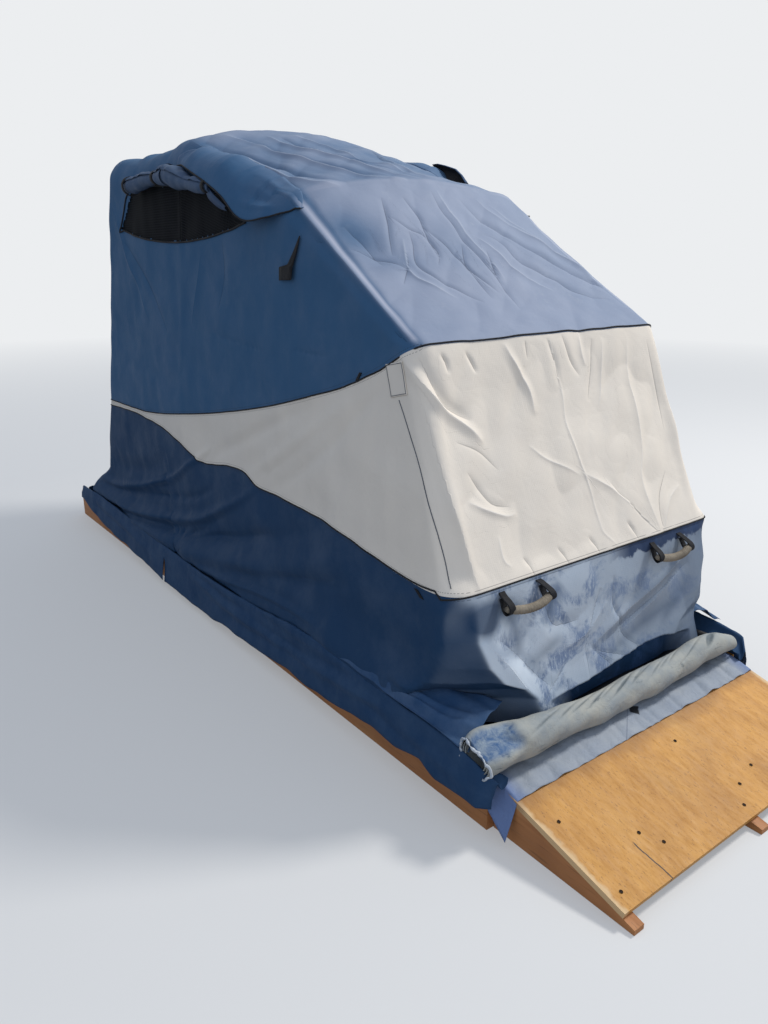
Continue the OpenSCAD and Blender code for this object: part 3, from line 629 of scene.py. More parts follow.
def fold_height(grid, folds, crease=None):
    """How far each point rises or sinks, as the sum of all the folds.

    Given a crease table (facing x, y, z, then distance, then depth), it also notes there how far each
    point lies to one side of the nearest sharp fold, for the material's painted crease shade and bump.
    """
    points = grid.reshape(-1, 3)
    height = np.zeros(len(points))
    for amount, width, line in folds:
        run = np.concatenate([[0], np.cumsum(np.linalg.norm(np.diff(line, axis=0), axis=1))])
        reach = 2.6 * width
        near = np.all((points > line.min(0) - reach) & (points < line.max(0) + reach), axis=1).nonzero()[0]
        if not len(near):
            continue
        gap, place, hand = np.full(len(near), FAR), np.zeros(len(near)), np.ones(len(near))
        for k, step in enumerate(np.diff(line, axis=0)):
            share, far = beside_run(points[near], line[k], step, 1e-12)
            closer = far < gap
            gap[closer] = far[closer]
            place[closer] = (run[k] + share * (run[k + 1] - run[k]))[closer]
            if crease is not None:
                turned = (np.cross(step, points[near] - line[k]) * crease[near, :3]).sum(1)
                hand[closer] = np.where(turned > 0, 1, -1)[closer]
        fade = np.sin(pi * unit(place / run[-1])) ** 0.6
        crisp = 0 if abs(line[0, 0]) > 0.57 or width > 0.045 else 0.85
        tent = unit(1 - (np.sqrt(gap**2 + 0.002**2) - 0.002) / (2.3 * width)) ** 2
        shape = (1 - crisp) * np.exp(-(gap / width) ** 2) + crisp * tent
        height[near] += amount * fade * shape
        if crease is not None and crisp:
            nearer = gap < np.abs(crease[near, 3])
            crease[near[nearer], 3] = (gap * hand)[nearer]
            crease[near[nearer], 4] = (np.sign(amount) * fade)[nearer]
    return height.reshape(grid.shape[:-1])


dice = np.random.default_rng(7)
folds = []
for k, (amount, width, line) in enumerate(FOLDS + FRONT_FOLDS):
    line = smooth_line(np.array(line) / 1000)
    folds.append((amount / 1000, width / 1000, line))
    # The right side has folds like those of the left side, a little off and of other sizes
    if k < len(FOLDS) and line[:, 0].max() < -0.45:
        other = line * [-1, 1, 1] + [0, *dice.normal(0, 0.03, 2)]
        folds.append((amount / 1000 * dice.uniform(0.7, 1.1), width / 1000 * dice.uniform(0.9, 1.3), other))
# A taut ridge runs down each edge of the sloping front, in the middle of the corner's bend
middle_bend = round(SIDE_COLUMNS * (CROWN_SHARE + BEND_SHARE * 0.45))
for column, amount in ((SIDE_COLUMNS - middle_bend, 0.017), (SIDE_COLUMNS + middle_bend, 0.011)):
    folds.append((amount, 0.013, skin[row_of[4] - 10:row_of[5] + 4:6, column]))
crease = np.zeros((skin[..., 0].size, 5))
crease[:, :3] = facing.reshape(-1, 3)
crease[:, 3] = 0.5
height = fold_height(skin, folds, crease)
crease_gap, crease_depth = (crease[:, k].reshape(skin.shape[:2]) for k in (3, 4))
print("folds from", round(height.min() * 1000), "to", round(height.max() * 1000), "mm")

# %% Slack, sag and flare
SAG, BOW_GRIP = 0.012, 0.035


def ripples(points, count, shortest, longest, seed):
    """A soft, uneven swell: many long waves in all directions, added up."""
    dice = np.random.default_rng(seed)
    total = np.zeros(points.shape[:-1])
    for _ in range(count):
        way = dice.normal(size=3)
        way *= 2 * pi / dice.uniform(shortest, longest) / np.linalg.norm(way)
        total += np.sin(points @ way + dice.uniform(0, 2 * pi))
    return total / np.sqrt(count / 2)


height += 0.0016 * ripples(skin, 18, 0.10, 0.30, 3) + 0.003 * ripples(skin, 14, 0.35, 0.9, 5)
inner = unit((0.57 - np.abs(skin[..., 0])) / 0.07)
inner = inner**2 * (3 - 2 * inner)
crumpled = inner * unit((skin[..., 2] - 0.25) / 0.2)
height += 0.0035 * crumpled * (np.abs(ripples(skin * [1, 1, 0.7], 7, 0.12, 0.30, 9)) - 0.5)
# A bow lets no valley go in under it, and the cloth sags half way between two bows
radius = pin_distance(skin)
hold = np.ones(skin.shape[:2])
for k in range(5):
    off = radius * np.radians(np.abs(fan_angle - ANGLE[k]))
    hold = np.minimum(hold, 1 - np.exp(-(off / BOW_GRIP) ** 2))
height = np.where(height < 0, height * hold, height)
for k in range(2, 6):
    share = unit((np.arange(len(skin)) - row_of[k]) / STEPS[k])
    height -= (SAG * 4 * share * (1 - share))[:, None] * unit(radius / 2) ** 2 * inner
height *= unit(radius / 0.12)
skin = skin + facing * height[..., None]

# The top of the skirt beside the cover, as places along the shelter and heights
CREST = [(-1.868, 0.185), (-1.834, 0.225), (-1.81, 0.232), (-1.71, 0.25), (-1.6, 0.256), (-1.48, 0.25),
         (-1.4, 0.254), (-1.3, 0.252), (-1.14, 0.262), (-1.04, 0.277), (-0.82, 0.272), (-0.54, 0.236),
         (-0.3, 0.222), (-0.04, 0.214), (0.2, 0.212), (0.65, 0.218), (1.05, 0.236), (1.4, 0.246),
         (1.665, 0.232)]
BELLY = [(-1.66, 0), (-1.45, 0.03), (-1.0, 0.036), (0.0, 0.034), (1.0, 0.036), (1.5, 0.036), (1.62, 0.02)]
crest = np.interp(flat_skin[..., 1], *zip(*CREST))
belly = np.interp(flat_skin[..., 1], *zip(*BELLY))
drop = flat_skin[..., 2] - crest - 0.008
low_side = np.abs(flat_skin[..., 0]) > 0.6
belly = belly * np.exp(-(drop / np.where(drop > 0, 0.085, 0.05)) ** 2) * low_side
skin[..., 0] += np.sign(flat_skin[..., 0]) * belly

# The cloth under the front edge is tucked back, which leaves a dark gap above the roll
GAP_EDGE = [(-0.3, 0.262), (-0.12, 0.272), (0.0, 0.280), (0.097, 0.288), (0.211, 0.302), (0.311, 0.300),
            (0.42, 0.276), (0.5, 0.262)]
under = np.interp(flat_skin[..., 0], *zip(*GAP_EDGE)) - flat_skin[..., 2]
tucked = unit(under / 0.012) * (flat_skin[..., 1] < -1.6)
tucked *= unit((flat_skin[..., 0] + 0.3) / 0.15) * unit((0.5 - flat_skin[..., 0]) / 0.12)
skin[..., 1] += 0.05 * tucked
print("skin stands out to", np.abs(skin[..., 0]).max().round(3), "m")

# %% [markdown]
# ## The two seams
#
# Black piping parts the blue cloth from a white band that widens to the front, and the band from the
# navy cloth below. How far each point lies above a seam is kept as an attribute of the mesh, so the
# material can change colour on an exact line that doesn't follow the edges of the faces.

# %% Distance from the seams
UPPER_SEAM = [(1.75, 0.80), (1.45, 0.808), (1.215, 0.815), (0.65, 0.835), (0.2, 0.895), (-0.16, 0.958),
              (-0.5, 1.03), (-0.84, 1.117), (-1.157, 1.221), (-1.376, 1.327)]
LOWER_SEAM = [(1.75, 0.762), (1.45, 0.775), (1.23, 0.785), (0.831, 0.800), (0.505, 0.786), (0.25, 0.745),
              (0.051, 0.705), (-0.07, 0.716), (-0.198, 0.737), (-0.346, 0.741), (-0.459, 0.707),
              (-0.634, 0.708), (-1.01, 0.703), (-1.41, 0.657)]
LOWER_SEAM.append(tuple(flat_skin[row_of[6], SIDE_COLUMNS, 1:]))


def above(line, points):
    """Signed distance in the side view from a seam line, positive above it."""
    seam = smooth_line([(0, y, z) for y, z in line], 0.03)[:, 1:]
    flat = points[..., 1:].reshape(-1, 2)
    best, sign = np.full(len(flat), FAR), np.ones(len(flat))
    for start, step in zip(seam[:-1], np.diff(seam, axis=0)):
        _, far = beside_run(flat, start, step)
        away = flat - start
        closer = far < best
        best[closer] = far[closer]
        sign[closer] = np.where(step[1] * away[:, 0] - step[0] * away[:, 1] > 0, 1, -1)[closer]
    return (best * sign).reshape(points.shape[:-1])


over_upper = above(UPPER_SEAM, flat_skin)
over_lower = above(LOWER_SEAM, flat_skin)
print("seams measured:", over_upper.min().round(2), over_upper.max().round(2))

# %% [markdown]
# ## Cloth material
#
# Coated polyester is a close plain weave with a slight sheen. Its blue is faded where sun reaches it:
# the sloping front most, the roof less, the sides least. One material serves the whole cover. It
# reads the seam distances for its colour, a fade attribute for the sun's work and for painted
# highlight and shade, and the UV map, which is in metres, for the weave.

# %% Cloth finishes
CLOTH = 0.0015
THREADS = 900.0


def named(tree, name):
    return put(tree, "Attribute", attribute_name=name).outputs["Fac"]


def weave(tree, scale, distortion=0.0, detail=2.0):
    """The height of threads that cross both ways."""
    flat = put(tree, "UVMap").outputs[0]
    inputs = {"Vector": flat, "Scale": scale, "Distortion": distortion, "Detail": detail}
    ways = [put(tree, "TexWave", inputs, bands_direction=way).outputs["Fac"] for way in ("X", "Y")]
    return maths(tree, "MAXIMUM", *ways)


def woven(tree, shader, crumple, deep=0.5):
    """Bump of a plain weave, with THREADS to the metre, on top of small crumples."""
    height = weave(tree, THREADS / 20, 0.6, 1.0)
    bump = put(tree, "Bump", {"Height": height, "Strength": 0.25, "Distance": 0.0005})
    inputs = {"Height": crumple, "Strength": deep, "Distance": 0.005, "Normal": bump.outputs[0]}
    feed(tree, shader, {"Normal": put(tree, "Bump", inputs).outputs[0]})


DEEP_BLUE = linear(54, 88, 121)
SUNNED_AND_LIT_BLUE = linear(158, 163, 178)
WHITE_CLOTH = linear(220, 211, 198)
NAVY = linear(31, 58, 88)
DUSTY_AND_LIT_BLUE = linear(208, 219, 229)


def panel_colours(tree, cloudy, rub, fade, over):
    """Blue above the upper seam, white between the seams and navy below; and how far the blue is sun-faded
    and painted with light and shade.
    """
    sun_fade_and_light = maths(tree, "ADD", spread(tree, cloudy, 0.3, 0.7, -0.06, 0.06), fade, clamp=True)
    # The fade attribute pales the blue towards a colour that is partly sun-faded cloth and partly painted
    # highlight
    blue = mixed(tree, sun_fade_and_light, DEEP_BLUE, SUNNED_AND_LIT_BLUE)
    fade_and_light_share = maths(tree, "ADD", spread(tree, cloudy, 0.3, 0.7, -0.03, 0.03), fade, clamp=True)
    # The navy pales the same way, partly as dust and sun fade and partly as painted highlight
    navy = mixed(tree, fade_and_light_share, NAVY, DUSTY_AND_LIT_BLUE)
    white = mixed(tree, spread(tree, cloudy, 0.4, 0.75, 0, 0.3), WHITE_CLOTH, linear(208, 202, 194))
    white = mixed(tree, spread(tree, rub, 0.66, 0.86, 0, 0.3), white, linear(180, 174, 166))
    upper, lower = (maths(tree, "GREATER_THAN", distance, 0.0) for distance in over)
    return mixed(tree, upper, mixed(tree, lower, navy, white), blue), sun_fade_and_light


def worn_front(tree, place, colour, lower, worn):
    """The lower front has lost its pale face in patches, with fine scratches across them.

    Right under the seam some of it is still navy.
    """
    x, y, _ = put(tree, "SeparateXYZ", {0: place}).outputs
    ragged = maths(tree, "MULTIPLY_ADD", noise(tree, place, 24.0, 4.0), 0.07, lower)
    kept_dark = times(tree, spread(tree, ragged, -0.008, 0.0), spread(tree, x, 0.02, 0.14))
    kept_dark = times(tree, kept_dark, spread(tree, lower, -0.001, 0, 1, 0))
    colour = mixed(tree, times(tree, kept_dark, spread(tree, worn, 0, 0.05)), colour, linear(52, 66, 92))
    patchy = spread(tree, noise(tree, place, 6.5, 6.0, 0.65, 0.5), 0.5, 0.6, 0, 0.75)
    scratch = noise(tree, scaled(tree, place, 160, 40, 34), 1.0, 4.0, 0.6, 1.5)
    patchy = times(tree, times(tree, patchy, worn), spread(tree, scratch, 0.5, 0.62, 1, 0.25))
    return mixed(tree, patchy, colour, linear(64, 92, 134))


def stitched(tree, place, colour, distance):
    """A row of stitches on each side of a seam."""
    _, along, _ = put(tree, "SeparateXYZ", {0: place}).outputs
    beside = apart(tree, maths(tree, "ABSOLUTE", distance), 0.010)
    dash = maths(tree, "GREATER_THAN", maths(tree, "SINE", times(tree, along, 900.0)), -0.3)
    stitch = times(tree, spread(tree, beside, 0.0006, 0.0014, 0.5, 0), dash)
    return mixed(tree, stitch, colour, linear(40, 44, 50))


def crease_shade_and_highlight(tree, colour, gap, depth, fade):
    """Painted shade darkens the sharp creases that go in, and the ridges get a painted highlight, partly
    wear, where the cover is faded.
    """
    # Painted shade along the creases that go in
    crease_shade = times(tree, spread(tree, gap, 0.0006, 0.0026, 1, 0), spread(tree, depth, -0.8, 0, 0.6, 0))
    colour = mixed(tree, crease_shade, colour, mixed(tree, 0.35, linear(22, 30, 44), colour))
    # Painted highlight along the ridges, partly wear
    pale = times(tree, spread(tree, gap, 0.001, 0.005, 1, 0), spread(tree, depth, 0, 0.8, 0, 0.25))
    return mixed(tree, times(tree, pale, fade), colour, linear(224, 228, 232))


def cover_cloth():
    material, tree, shader = shader_for("cover_cloth", 0.66)
    place = object_place(tree)
    cloudy = noise(tree, place, 3.5, 5.0, 0.6)
    rub = noise(tree, scaled(tree, place, 12, 12, 10), 1.0, 6.0, 0.7)
    fade, worn, crease, depth = (named(tree, label) for label in ("fade", "worn", "crease", "depth"))
    over = [named(tree, label) for label in ("over_upper", "over_lower")]
    colour, sun_fade_and_light = panel_colours(tree, cloudy, rub, fade, over)
    dusty = times(tree, spread(tree, rub, 0.6, 0.9, 0, 0.5), sun_fade_and_light)
    colour = mixed(tree, dusty, colour, linear(186, 188, 190))
    colour = worn_front(tree, place, colour, over[1], worn)
    for distance in over:
        colour = stitched(tree, place, colour, distance)
    gap = maths(tree, "ABSOLUTE", crease)
    colour = crease_shade_and_highlight(tree, colour, gap, depth, fade)
    rough = spread(tree, rub, 0.3, 0.8, 0.58, 0.8)
    feed(tree, shader, {"Base Color": colour, "Roughness": rough, "Specular IOR Level": 0.1})
    # Creases as on crumpled paper: thin ones where a noise crosses its middle, and those of the folds
    thin = apart(tree, noise(tree, place, 8.0, 3.0, 0.5, 0.5), 0.5)
    sharp = maths(tree, "POWER", spread(tree, gap, 0, 0.009, 1, 0), 1.6)
    crumple = maths(tree, "MULTIPLY_ADD", sharp, times(tree, depth, 0.42), times(tree, thin, 1.1))
    crumple = maths(tree, "MULTIPLY_ADD", noise(tree, place, 24.0, 4.0, 0.55, 0.6), 0.25, crumple)
    woven(tree, shader, crumple, 0.6)
    return material


def plain_cloth(name, colour, worn, wear=0.5, crumples=30.0, deep=0.5):
    """A cloth of one colour that is worn pale, or dark, in patches and along its creases."""
    material, tree, shader = shader_for(name, 0.7)
    place = object_place(tree)
    cloudy = noise(tree, place, 9.0, 5.0, 0.62)
    rub = noise(tree, scaled(tree, place, 30, 60, 30), 1.0, 5.0, 0.7)
    shade = mixed(tree, spread(tree, cloudy, 0.35, 0.7, 0, wear), colour, worn)
    shade = mixed(tree, spread(tree, rub, 0.6, 0.85, 0, wear * 0.6), shade, worn)
    rough = spread(tree, rub, 0.3, 0.8, 0.62, 0.82)
    feed(tree, shader, {"Base Color": shade, "Roughness": rough, "Specular IOR Level": 0.12})
    woven(tree, shader, noise(tree, place, crumples, 4.0, 0.6, 0.8), deep)
    return material


cover_material = cover_cloth()

# %% [markdown]
# ## Cutting the skin into its bays
#
# A bay is the cloth between two bows. In the real cover it folds like a fan when the bows swing back,
# so each bay turns with the bow behind it at one edge and with the bow before it at the other. The
# share of each turn comes from the point's angle about the pin, which keeps the bays joined. The
# bays also share the normals of the whole skin, so no line shows where one meets the next.

# %% Helpers for sheets
def sheet_mesh(name, points, attributes=(), facings=None):
    """A grid of bmesh whose points are laid where the array of places says."""
    rows, columns = points.shape[:2]
    bm = bmesh.new()
    bmesh.ops.create_grid(bm, x_segments=columns - 1, y_segments=rows - 1, size=1)
    mesh = bpy.data.meshes.new(name)
    bm.to_mesh(mesh)
    bm.free()
    place = np.empty(len(mesh.vertices) * 3)
    mesh.vertices.foreach_get("co", place)
    place = place.reshape(-1, 3)
    column = np.rint((place[:, 0] + 1) / 2 * (columns - 1)).astype(int)
    row = np.rint((place[:, 1] + 1) / 2 * (rows - 1)).astype(int)
    mesh.vertices.foreach_set("co", points[row, column].ravel())
    across = np.zeros(points.shape[:2])
    across[:, 1:] = np.cumsum(np.linalg.norm(np.diff(points, axis=1), axis=2), axis=1)
    across -= across[:, columns // 2][:, None]
    along = np.zeros(points.shape[:2])
    along[1:] = np.cumsum(np.linalg.norm(np.diff(points, axis=0), axis=2), axis=0)
    flat = np.stack([across, along], 2)[row, column]
    corner = np.empty(len(mesh.loops), int)
    mesh.loops.foreach_get("vertex_index", corner)
    mesh.uv_layers.new(name="UVMap").data.foreach_set("uv", flat[corner].ravel())
    for label, values in dict(attributes).items():
        data = mesh.attributes.new(label, "FLOAT", "POINT").data
        data.foreach_set("value", values[row, column].astype(np.float32))
    if facings is not None:
        data = mesh.attributes.new("facing", "FLOAT_VECTOR", "POINT").data
        data.foreach_set("vector", facings[row, column].astype(np.float32).ravel())
    mesh.polygons.foreach_set("use_smooth", [True] * len(mesh.polygons))
    mesh.update()
    return mesh


def area_of(mesh):
    return round(sum(p.area for p in mesh.polygons), 3)


def face_out(mesh, inside):
    """Turn the whole sheet over if most of it faces the given inner point."""
    votes = sum((p.normal.dot(p.center - Vector(inside)) > 0) * 2 - 1 for p in mesh.polygons)
    if votes < 0:
        mesh.flip_normals()


def thicken(piece, thickness):
    """Give cloth its thickness for good, inwards, and keep its own normals on both faces."""
    shell = piece.modifiers.new("thickness", "SOLIDIFY")
    shell.thickness = thickness
    shell.offset = -1
    count = len(piece.data.vertices)
    solid = bpy.data.meshes.new_from_object(piece.evaluated_get(bpy.context.evaluated_depsgraph_get()))
    piece.modifiers.clear()
    thin, piece.data = piece.data, solid
    solid.name = thin.name
    bpy.data.meshes.remove(thin)
    if "facing" in solid.attributes:
        ways = np.empty(len(solid.vertices) * 3, np.float32)
        solid.attributes["facing"].data.foreach_get("vector", ways)
        ways = ways.reshape(-1, 3)
        ways[count:] *= -1
        solid.attributes.remove(solid.attributes["facing"])
        solid.normals_split_custom_set_from_vertices(ways)
    return piece


def new_piece(name, mesh, material, thickness=0.0):
    """An object at the origin, with its finish and, for cloth, its thickness."""
    piece = bpy.data.objects.new(name, mesh)
    scene.collection.objects.link(piece)
    mesh.materials.append(material)
    return thicken(piece, thickness) if thickness else piece


CHAIN = ["root", "roof_frame", "brow_frame", "upper_frame", "lower_frame", "hem_frame"]


def turn_share(angle, bay):
    """0 at a bay's rear bow, 1 at its front bow."""
    return unit((ANGLE[bay] - angle) / (ANGLE[bay] - ANGLE[bay + 1]))


def fold_with(piece, bay):
    """Let a piece turn with the bows at both edges of its bay; bay -1 is the rear wall.

    The share of each turn is the mesh's own where it has one, and otherwise comes from the angle.
    """
    numbers = piece.data.attributes
    share = None
    if "share" in numbers:
        share = np.empty(len(piece.data.vertices), np.float32)
        numbers["share"].data.foreach_get("value", share)
        numbers.remove(numbers["share"])
    if bay < 0:
        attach(piece, "root")
        return
    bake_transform(piece, CHAIN[bay], CHAIN[bay + 1], (0, 0, 0), (0, 0, 1))
    if share is None:
        share = turn_share(fan_of(np.array([v.co for v in piece.data.vertices])), bay)
    piece.data.attributes["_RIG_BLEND"].data.foreach_set("value", share.astype(np.float32))


def declare(points, area=None):
    """Work out the area of a piece of cloth from its points, when none is given; nothing more is done with
    it.
    """
    if area is None:
        sides = np.diff(points, axis=0)[:, :-1], np.diff(points, axis=1)[:-1]
        area = round(float(np.linalg.norm(np.cross(*sides), axis=2).sum()), 3)


def dress(name, points, inside, material, moves, thickness=CLOTH, node=None, held=None,
          numbers=(), facings=None, cut=None):
    """A sheet with its finish, what it moves with and what it stands for.

    It moves with a body, given by name, or folds with a bay, given by number. A cut is a function that
    opens the mesh, and gives the area that is left if the sheet loses some.
    """
    mesh = sheet_mesh(name, points, numbers, facings)
    face_out(mesh, inside)
    area = cut(mesh) if cut else None
    piece = new_piece(name, mesh, material, thickness)
    if isinstance(moves, str):
        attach(piece, moves)
    else:
        fold_with(piece, moves)
    if node:
        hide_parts(node)
    if held:
        declare(points, area)


# %% [markdown]
# ## Window openings
#
# A long, lens-shaped window is cut through both sides, across the roof bow. The skin's points near
# its outline are first moved onto it, and then the faces inside are taken out, so that the cut edge
# follows the outline instead of the squares of the grid.

# %% The window's outline
def window_outline():
    y = np.linspace(-0.4, 0.866, 41)
    low = 1.627 + 0.065 * ((y - 0.233) / 0.633) ** 2
    return np.concatenate([np.stack([y, low], 1), [(0.725, 1.866), (0.30, 1.856), (-0.15, 1.838)]])


def past_outline(points, outline):
    """Signed distance from a closed outline in the side view, negative inside, and the nearest place."""
    flat = points.reshape(-1, 3)[:, 1:]
    best, nearest = np.full(len(flat), FAR), flat.copy()
    inside = np.zeros(len(flat), bool)
    for a, b in zip(outline, np.roll(outline, -1, axis=0)):
        step = b - a
        t = unit((flat - a) @ step / (step @ step))
        spot = a + t[:, None] * step
        far = np.linalg.norm(flat - spot, axis=1)
        closer = far < best
        best[closer], nearest[closer] = far[closer], spot[closer]
        if b[1] != a[1]:
            crosses = (a[1] > flat[:, 1]) != (b[1] > flat[:, 1])
            inside ^= crosses & (flat[:, 0] < a[0] + (flat[:, 1] - a[1]) / (b[1] - a[1]) * step[0])
    grid = points.shape[:2]
    return np.where(inside, -best, best).reshape(grid), nearest.reshape(*grid, 2)


window = window_outline()
past_window, at_outline = past_outline(skin, window)
on_side = (np.abs(skin[..., 0]) > 0.5) & (skin[..., 2] > 1.4)
past_window = np.where(on_side, past_window, FAR)
pulled = np.abs(past_window) < 0.0075
uncut_skin = skin.copy()
skin[pulled, 1:] = at_outline[pulled]
past_window[pulled] = 0
print("window points moved onto its outline:", int(pulled.sum()))


def cut_window(mesh):
    """Take out the faces whose corners all lie in or on the window's outline."""
    bm = bmesh.new()
    bm.from_mesh(mesh)
    layer = bm.verts.layers.float["past_window"]
    gone = [f for f in bm.faces if all(v[layer] < 0.0005 for v in f.verts)]
    bmesh.ops.delete(bm, geom=gone, context="FACES")
    bm.to_mesh(mesh)
    bm.free()
    mesh.attributes.remove(mesh.attributes["past_window"])
    print("window faces cut:", len(gone))
    return area_of(mesh)


# %% How faded and worn the cover is, and where light and shade are painted
up = unit(facing[..., 2])
front = unit(-facing[..., 1])
turned_away = unit((np.abs(facing[..., 0]) - 0.25) / 0.3)
rightward = unit((skin[..., 0] + 0.6) / 1.2)
# Sun fades the blue where it faces up and forward; at the roof's left the fade is held back as painted shade,
# and the slope is paler to the left
fade = 0.12 * up**2 * unit(rightward * 4 - 0.3) + (1.3 - 0.35 * rightward) * up * front
# Painted shade: on the left side, cloth that faces sideways keeps its dark blue
fade *= 1 - turned_away * (flat_skin[..., 0] < 0)
# On the roof the ridges of the folds get a painted highlight and the valleys painted shade, as paler and
# bluer cloth
rows = np.arange(len(skin))[:, None]
fade += 0.17 * up * np.clip(height / 0.010, -1, 1) * (rows > row_of[3] - 25) * (rows < row_of[4] + 4)
fade = np.clip(fade, 0, None)
# Spots on the slope that are bluer, partly cloth that kept its blue and partly painted shade in a hollow: the
# middle, the reach and how much
BLUE_AND_SHADE_SPOTS = (((-0.44, -0.91, 1.66), (0.10, 0.12, 0.12), 0.8),
               ((-0.36, -1.05, 1.56), (0.16, 0.05, 0.05), 0.3),
               ((-0.10, -1.02, 1.60), (0.10, 0.12, 0.12), 0.25))
for spot, reach, amount in BLUE_AND_SHADE_SPOTS:
    fade *= 1 - amount * np.exp(-(((flat_skin - spot) / reach) ** 2).sum(2))
# A painted highlight runs down the taut crest of the slope, and blue streaks slant across the lower front
columns = np.arange(skin.shape[1])[None]
crests = [columns - SIDE_COLUMNS - side * middle_bend + side * 2 for side in (-1, 1)]
crest_highlight = np.maximum(*(np.exp(-(off / 1.7) ** 2) for off in crests))
crest_highlight = crest_highlight * unit((rows - row_of[4]) / 12) * unit((row_of[5] - rows) / 5)
fade = np.maximum(fade, 0.9 * crest_highlight)
# Painted highlight: below the lower seam the navy is paler to the left and where it faces straight ahead
fade = np.where(over_lower > 0, fade, (1.15 - 0.9 * rightward**0.7) * front**7)
# Each streak: how much blue it keeps, how wide it is, and its line. The blue that a streak keeps is partly
# painted shade, and a negative amount paints a highlight
STREAKS = [(0.45, 0.026, [(0.28, -1.71, 0.45), (0.171, -1.721, 0.431), (0.019, -1.728, 0.398),
               (-0.075, -1.731, 0.383)]),
           (0.50, 0.024, [(0.47, -1.70, 0.48), (0.403, -1.722, 0.423), (0.283, -1.729, 0.394),
               (0.161, -1.733, 0.373), (0.02, -1.744, 0.321), (-0.02, -1.75, 0.29)]),
           (0.35, 0.018, [(0.42, -1.72, 0.41), (0.345, -1.731, 0.383), (0.277, -1.743, 0.327)]),
           (0.80, 0.030, [(-0.20, -1.68, 0.61), (-0.243, -1.688, 0.585), (-0.266, -1.697, 0.544),
               (-0.30, -1.70, 0.50)]),
           (0.50, 0.020, [(-0.45, -1.69, 0.57), (-0.425, -1.697, 0.542), (-0.409, -1.713, 0.468),
               (-0.42, -1.72, 0.43)]),
           (0.40, 0.022, [(-0.38, -1.73, 0.40), (-0.354, -1.726, 0.407), (-0.28, -1.72, 0.43),
               (-0.213, -1.715, 0.456)]),
           (0.90, 0.030, [(-0.60, -1.69, 0.57), (-0.55, -1.692, 0.565), (-0.48, -1.697, 0.545)]),
           (0.95, 0.045, [(-0.64, -1.65, 0.61), (-0.60, -1.67, 0.61), (-0.50, -1.685, 0.605),
               (-0.42, -1.69, 0.59), (-0.36, -1.69, 0.58)]),
           (-0.1, 0.05, [(-0.52, -1.71, 0.49), (-0.45, -1.72, 0.42), (-0.35, -1.75, 0.29)]),
           (-0.25, 0.02, [(0.49, -1.70, 0.52), (0.30, -1.71, 0.46), (0.05, -1.73, 0.39)])]
streaks = fold_height(flat_skin, [(a, w, smooth_line(line)) for a, w, line in STREAKS])
lower_front = (over_lower < 0) & (front > 0.3)
fade = np.where(lower_front, fade * (1 - np.clip(streaks, -0.5, 0.85)), fade)
worn = (over_lower < 0) * front**4 * unit(fade * 1.6)
# The tucked cloth gets no fade, as painted shade in its recess
fade = unit(fade * (1 - tucked))
normals = outward(skin)

# %% The bays
SKIN_NUMBERS = {"fade": fade, "worn": worn, "crease": crease_gap, "depth": crease_depth,
                "over_upper": over_upper, "over_lower": over_lower}
BAYS = [("rear_wall_cover", -1, "rear_cover", "blue_fabric"),
        ("vent_bay_cover", 0, "vent_cover", "blue_fabric"),
        ("crown_bay_cover", 1, "crown_cover", "blue_fabric"),
        ("slope_bay_cover", 2, "slope_cover", "blue_fabric"),
        ("front_bay_cover", 3, "front_cover", "white_fabric"),
        ("lower_bay_cover", 4, "lower_cover", "faded_blue_fabric")]
WINDOW_BAYS = (0, 1)


def rows_in(bay):
    """The rows of the skin over a bay; bay -1, the rear wall, has all of them behind the first bow."""
    return slice(row_of[bay + 2] if bay >= 0 else 0, row_of[bay + 3] + 1)


for name, bay, node, slot in BAYS:
    part = rows_in(bay)
    kept = {label: values[part] for label, values in SKIN_NUMBERS.items()}
    kept["share"] = turn_share(fan_angle[part], max(bay, 0))
    cut = area_of
    if bay in WINDOW_BAYS:
        kept["past_window"] = past_window[part]
        cut = cut_window
    dress(name, skin[part], (0, 0.2, 0.6), cover_material, bay, node=node, held="stretched",
          numbers=kept, facings=normals[part], cut=cut)

# %% [markdown]
# ## Skirts
#
# A strip of the same cloth is fastened along each side of the base frame. It bulges up beside the
# cover's lower edge, then hangs over the platform's side, and its hem rises and dips, so that bare
# wood shows below it at both ends. Each station along the platform gets its own profile, and a slit
# opens the hem behind the middle.

# %% Side skirts
# The hem, as places along the shelter and heights
HEM = [(-1.868, 0.112), (-1.834, 0.108), (-1.746, 0.104), (-1.658, 0.102), (-1.623, 0.117), (-1.588, 0.132),
       (-1.517, 0.118), (-1.458, 0.103), (-1.395, 0.107), (-1.335, 0.108), (-1.143, 0.092), (-0.996, 0.084),
       (-0.811, 0.072), (-0.608, 0.066), (-0.362, 0.056), (-0.178, 0.043), (0.075, 0.034), (0.367, 0.037),
       (0.72, 0.052), (1.01, 0.064), (1.143, 0.08), (1.415, 0.112), (1.584, 0.15), (1.665, 0.156)]
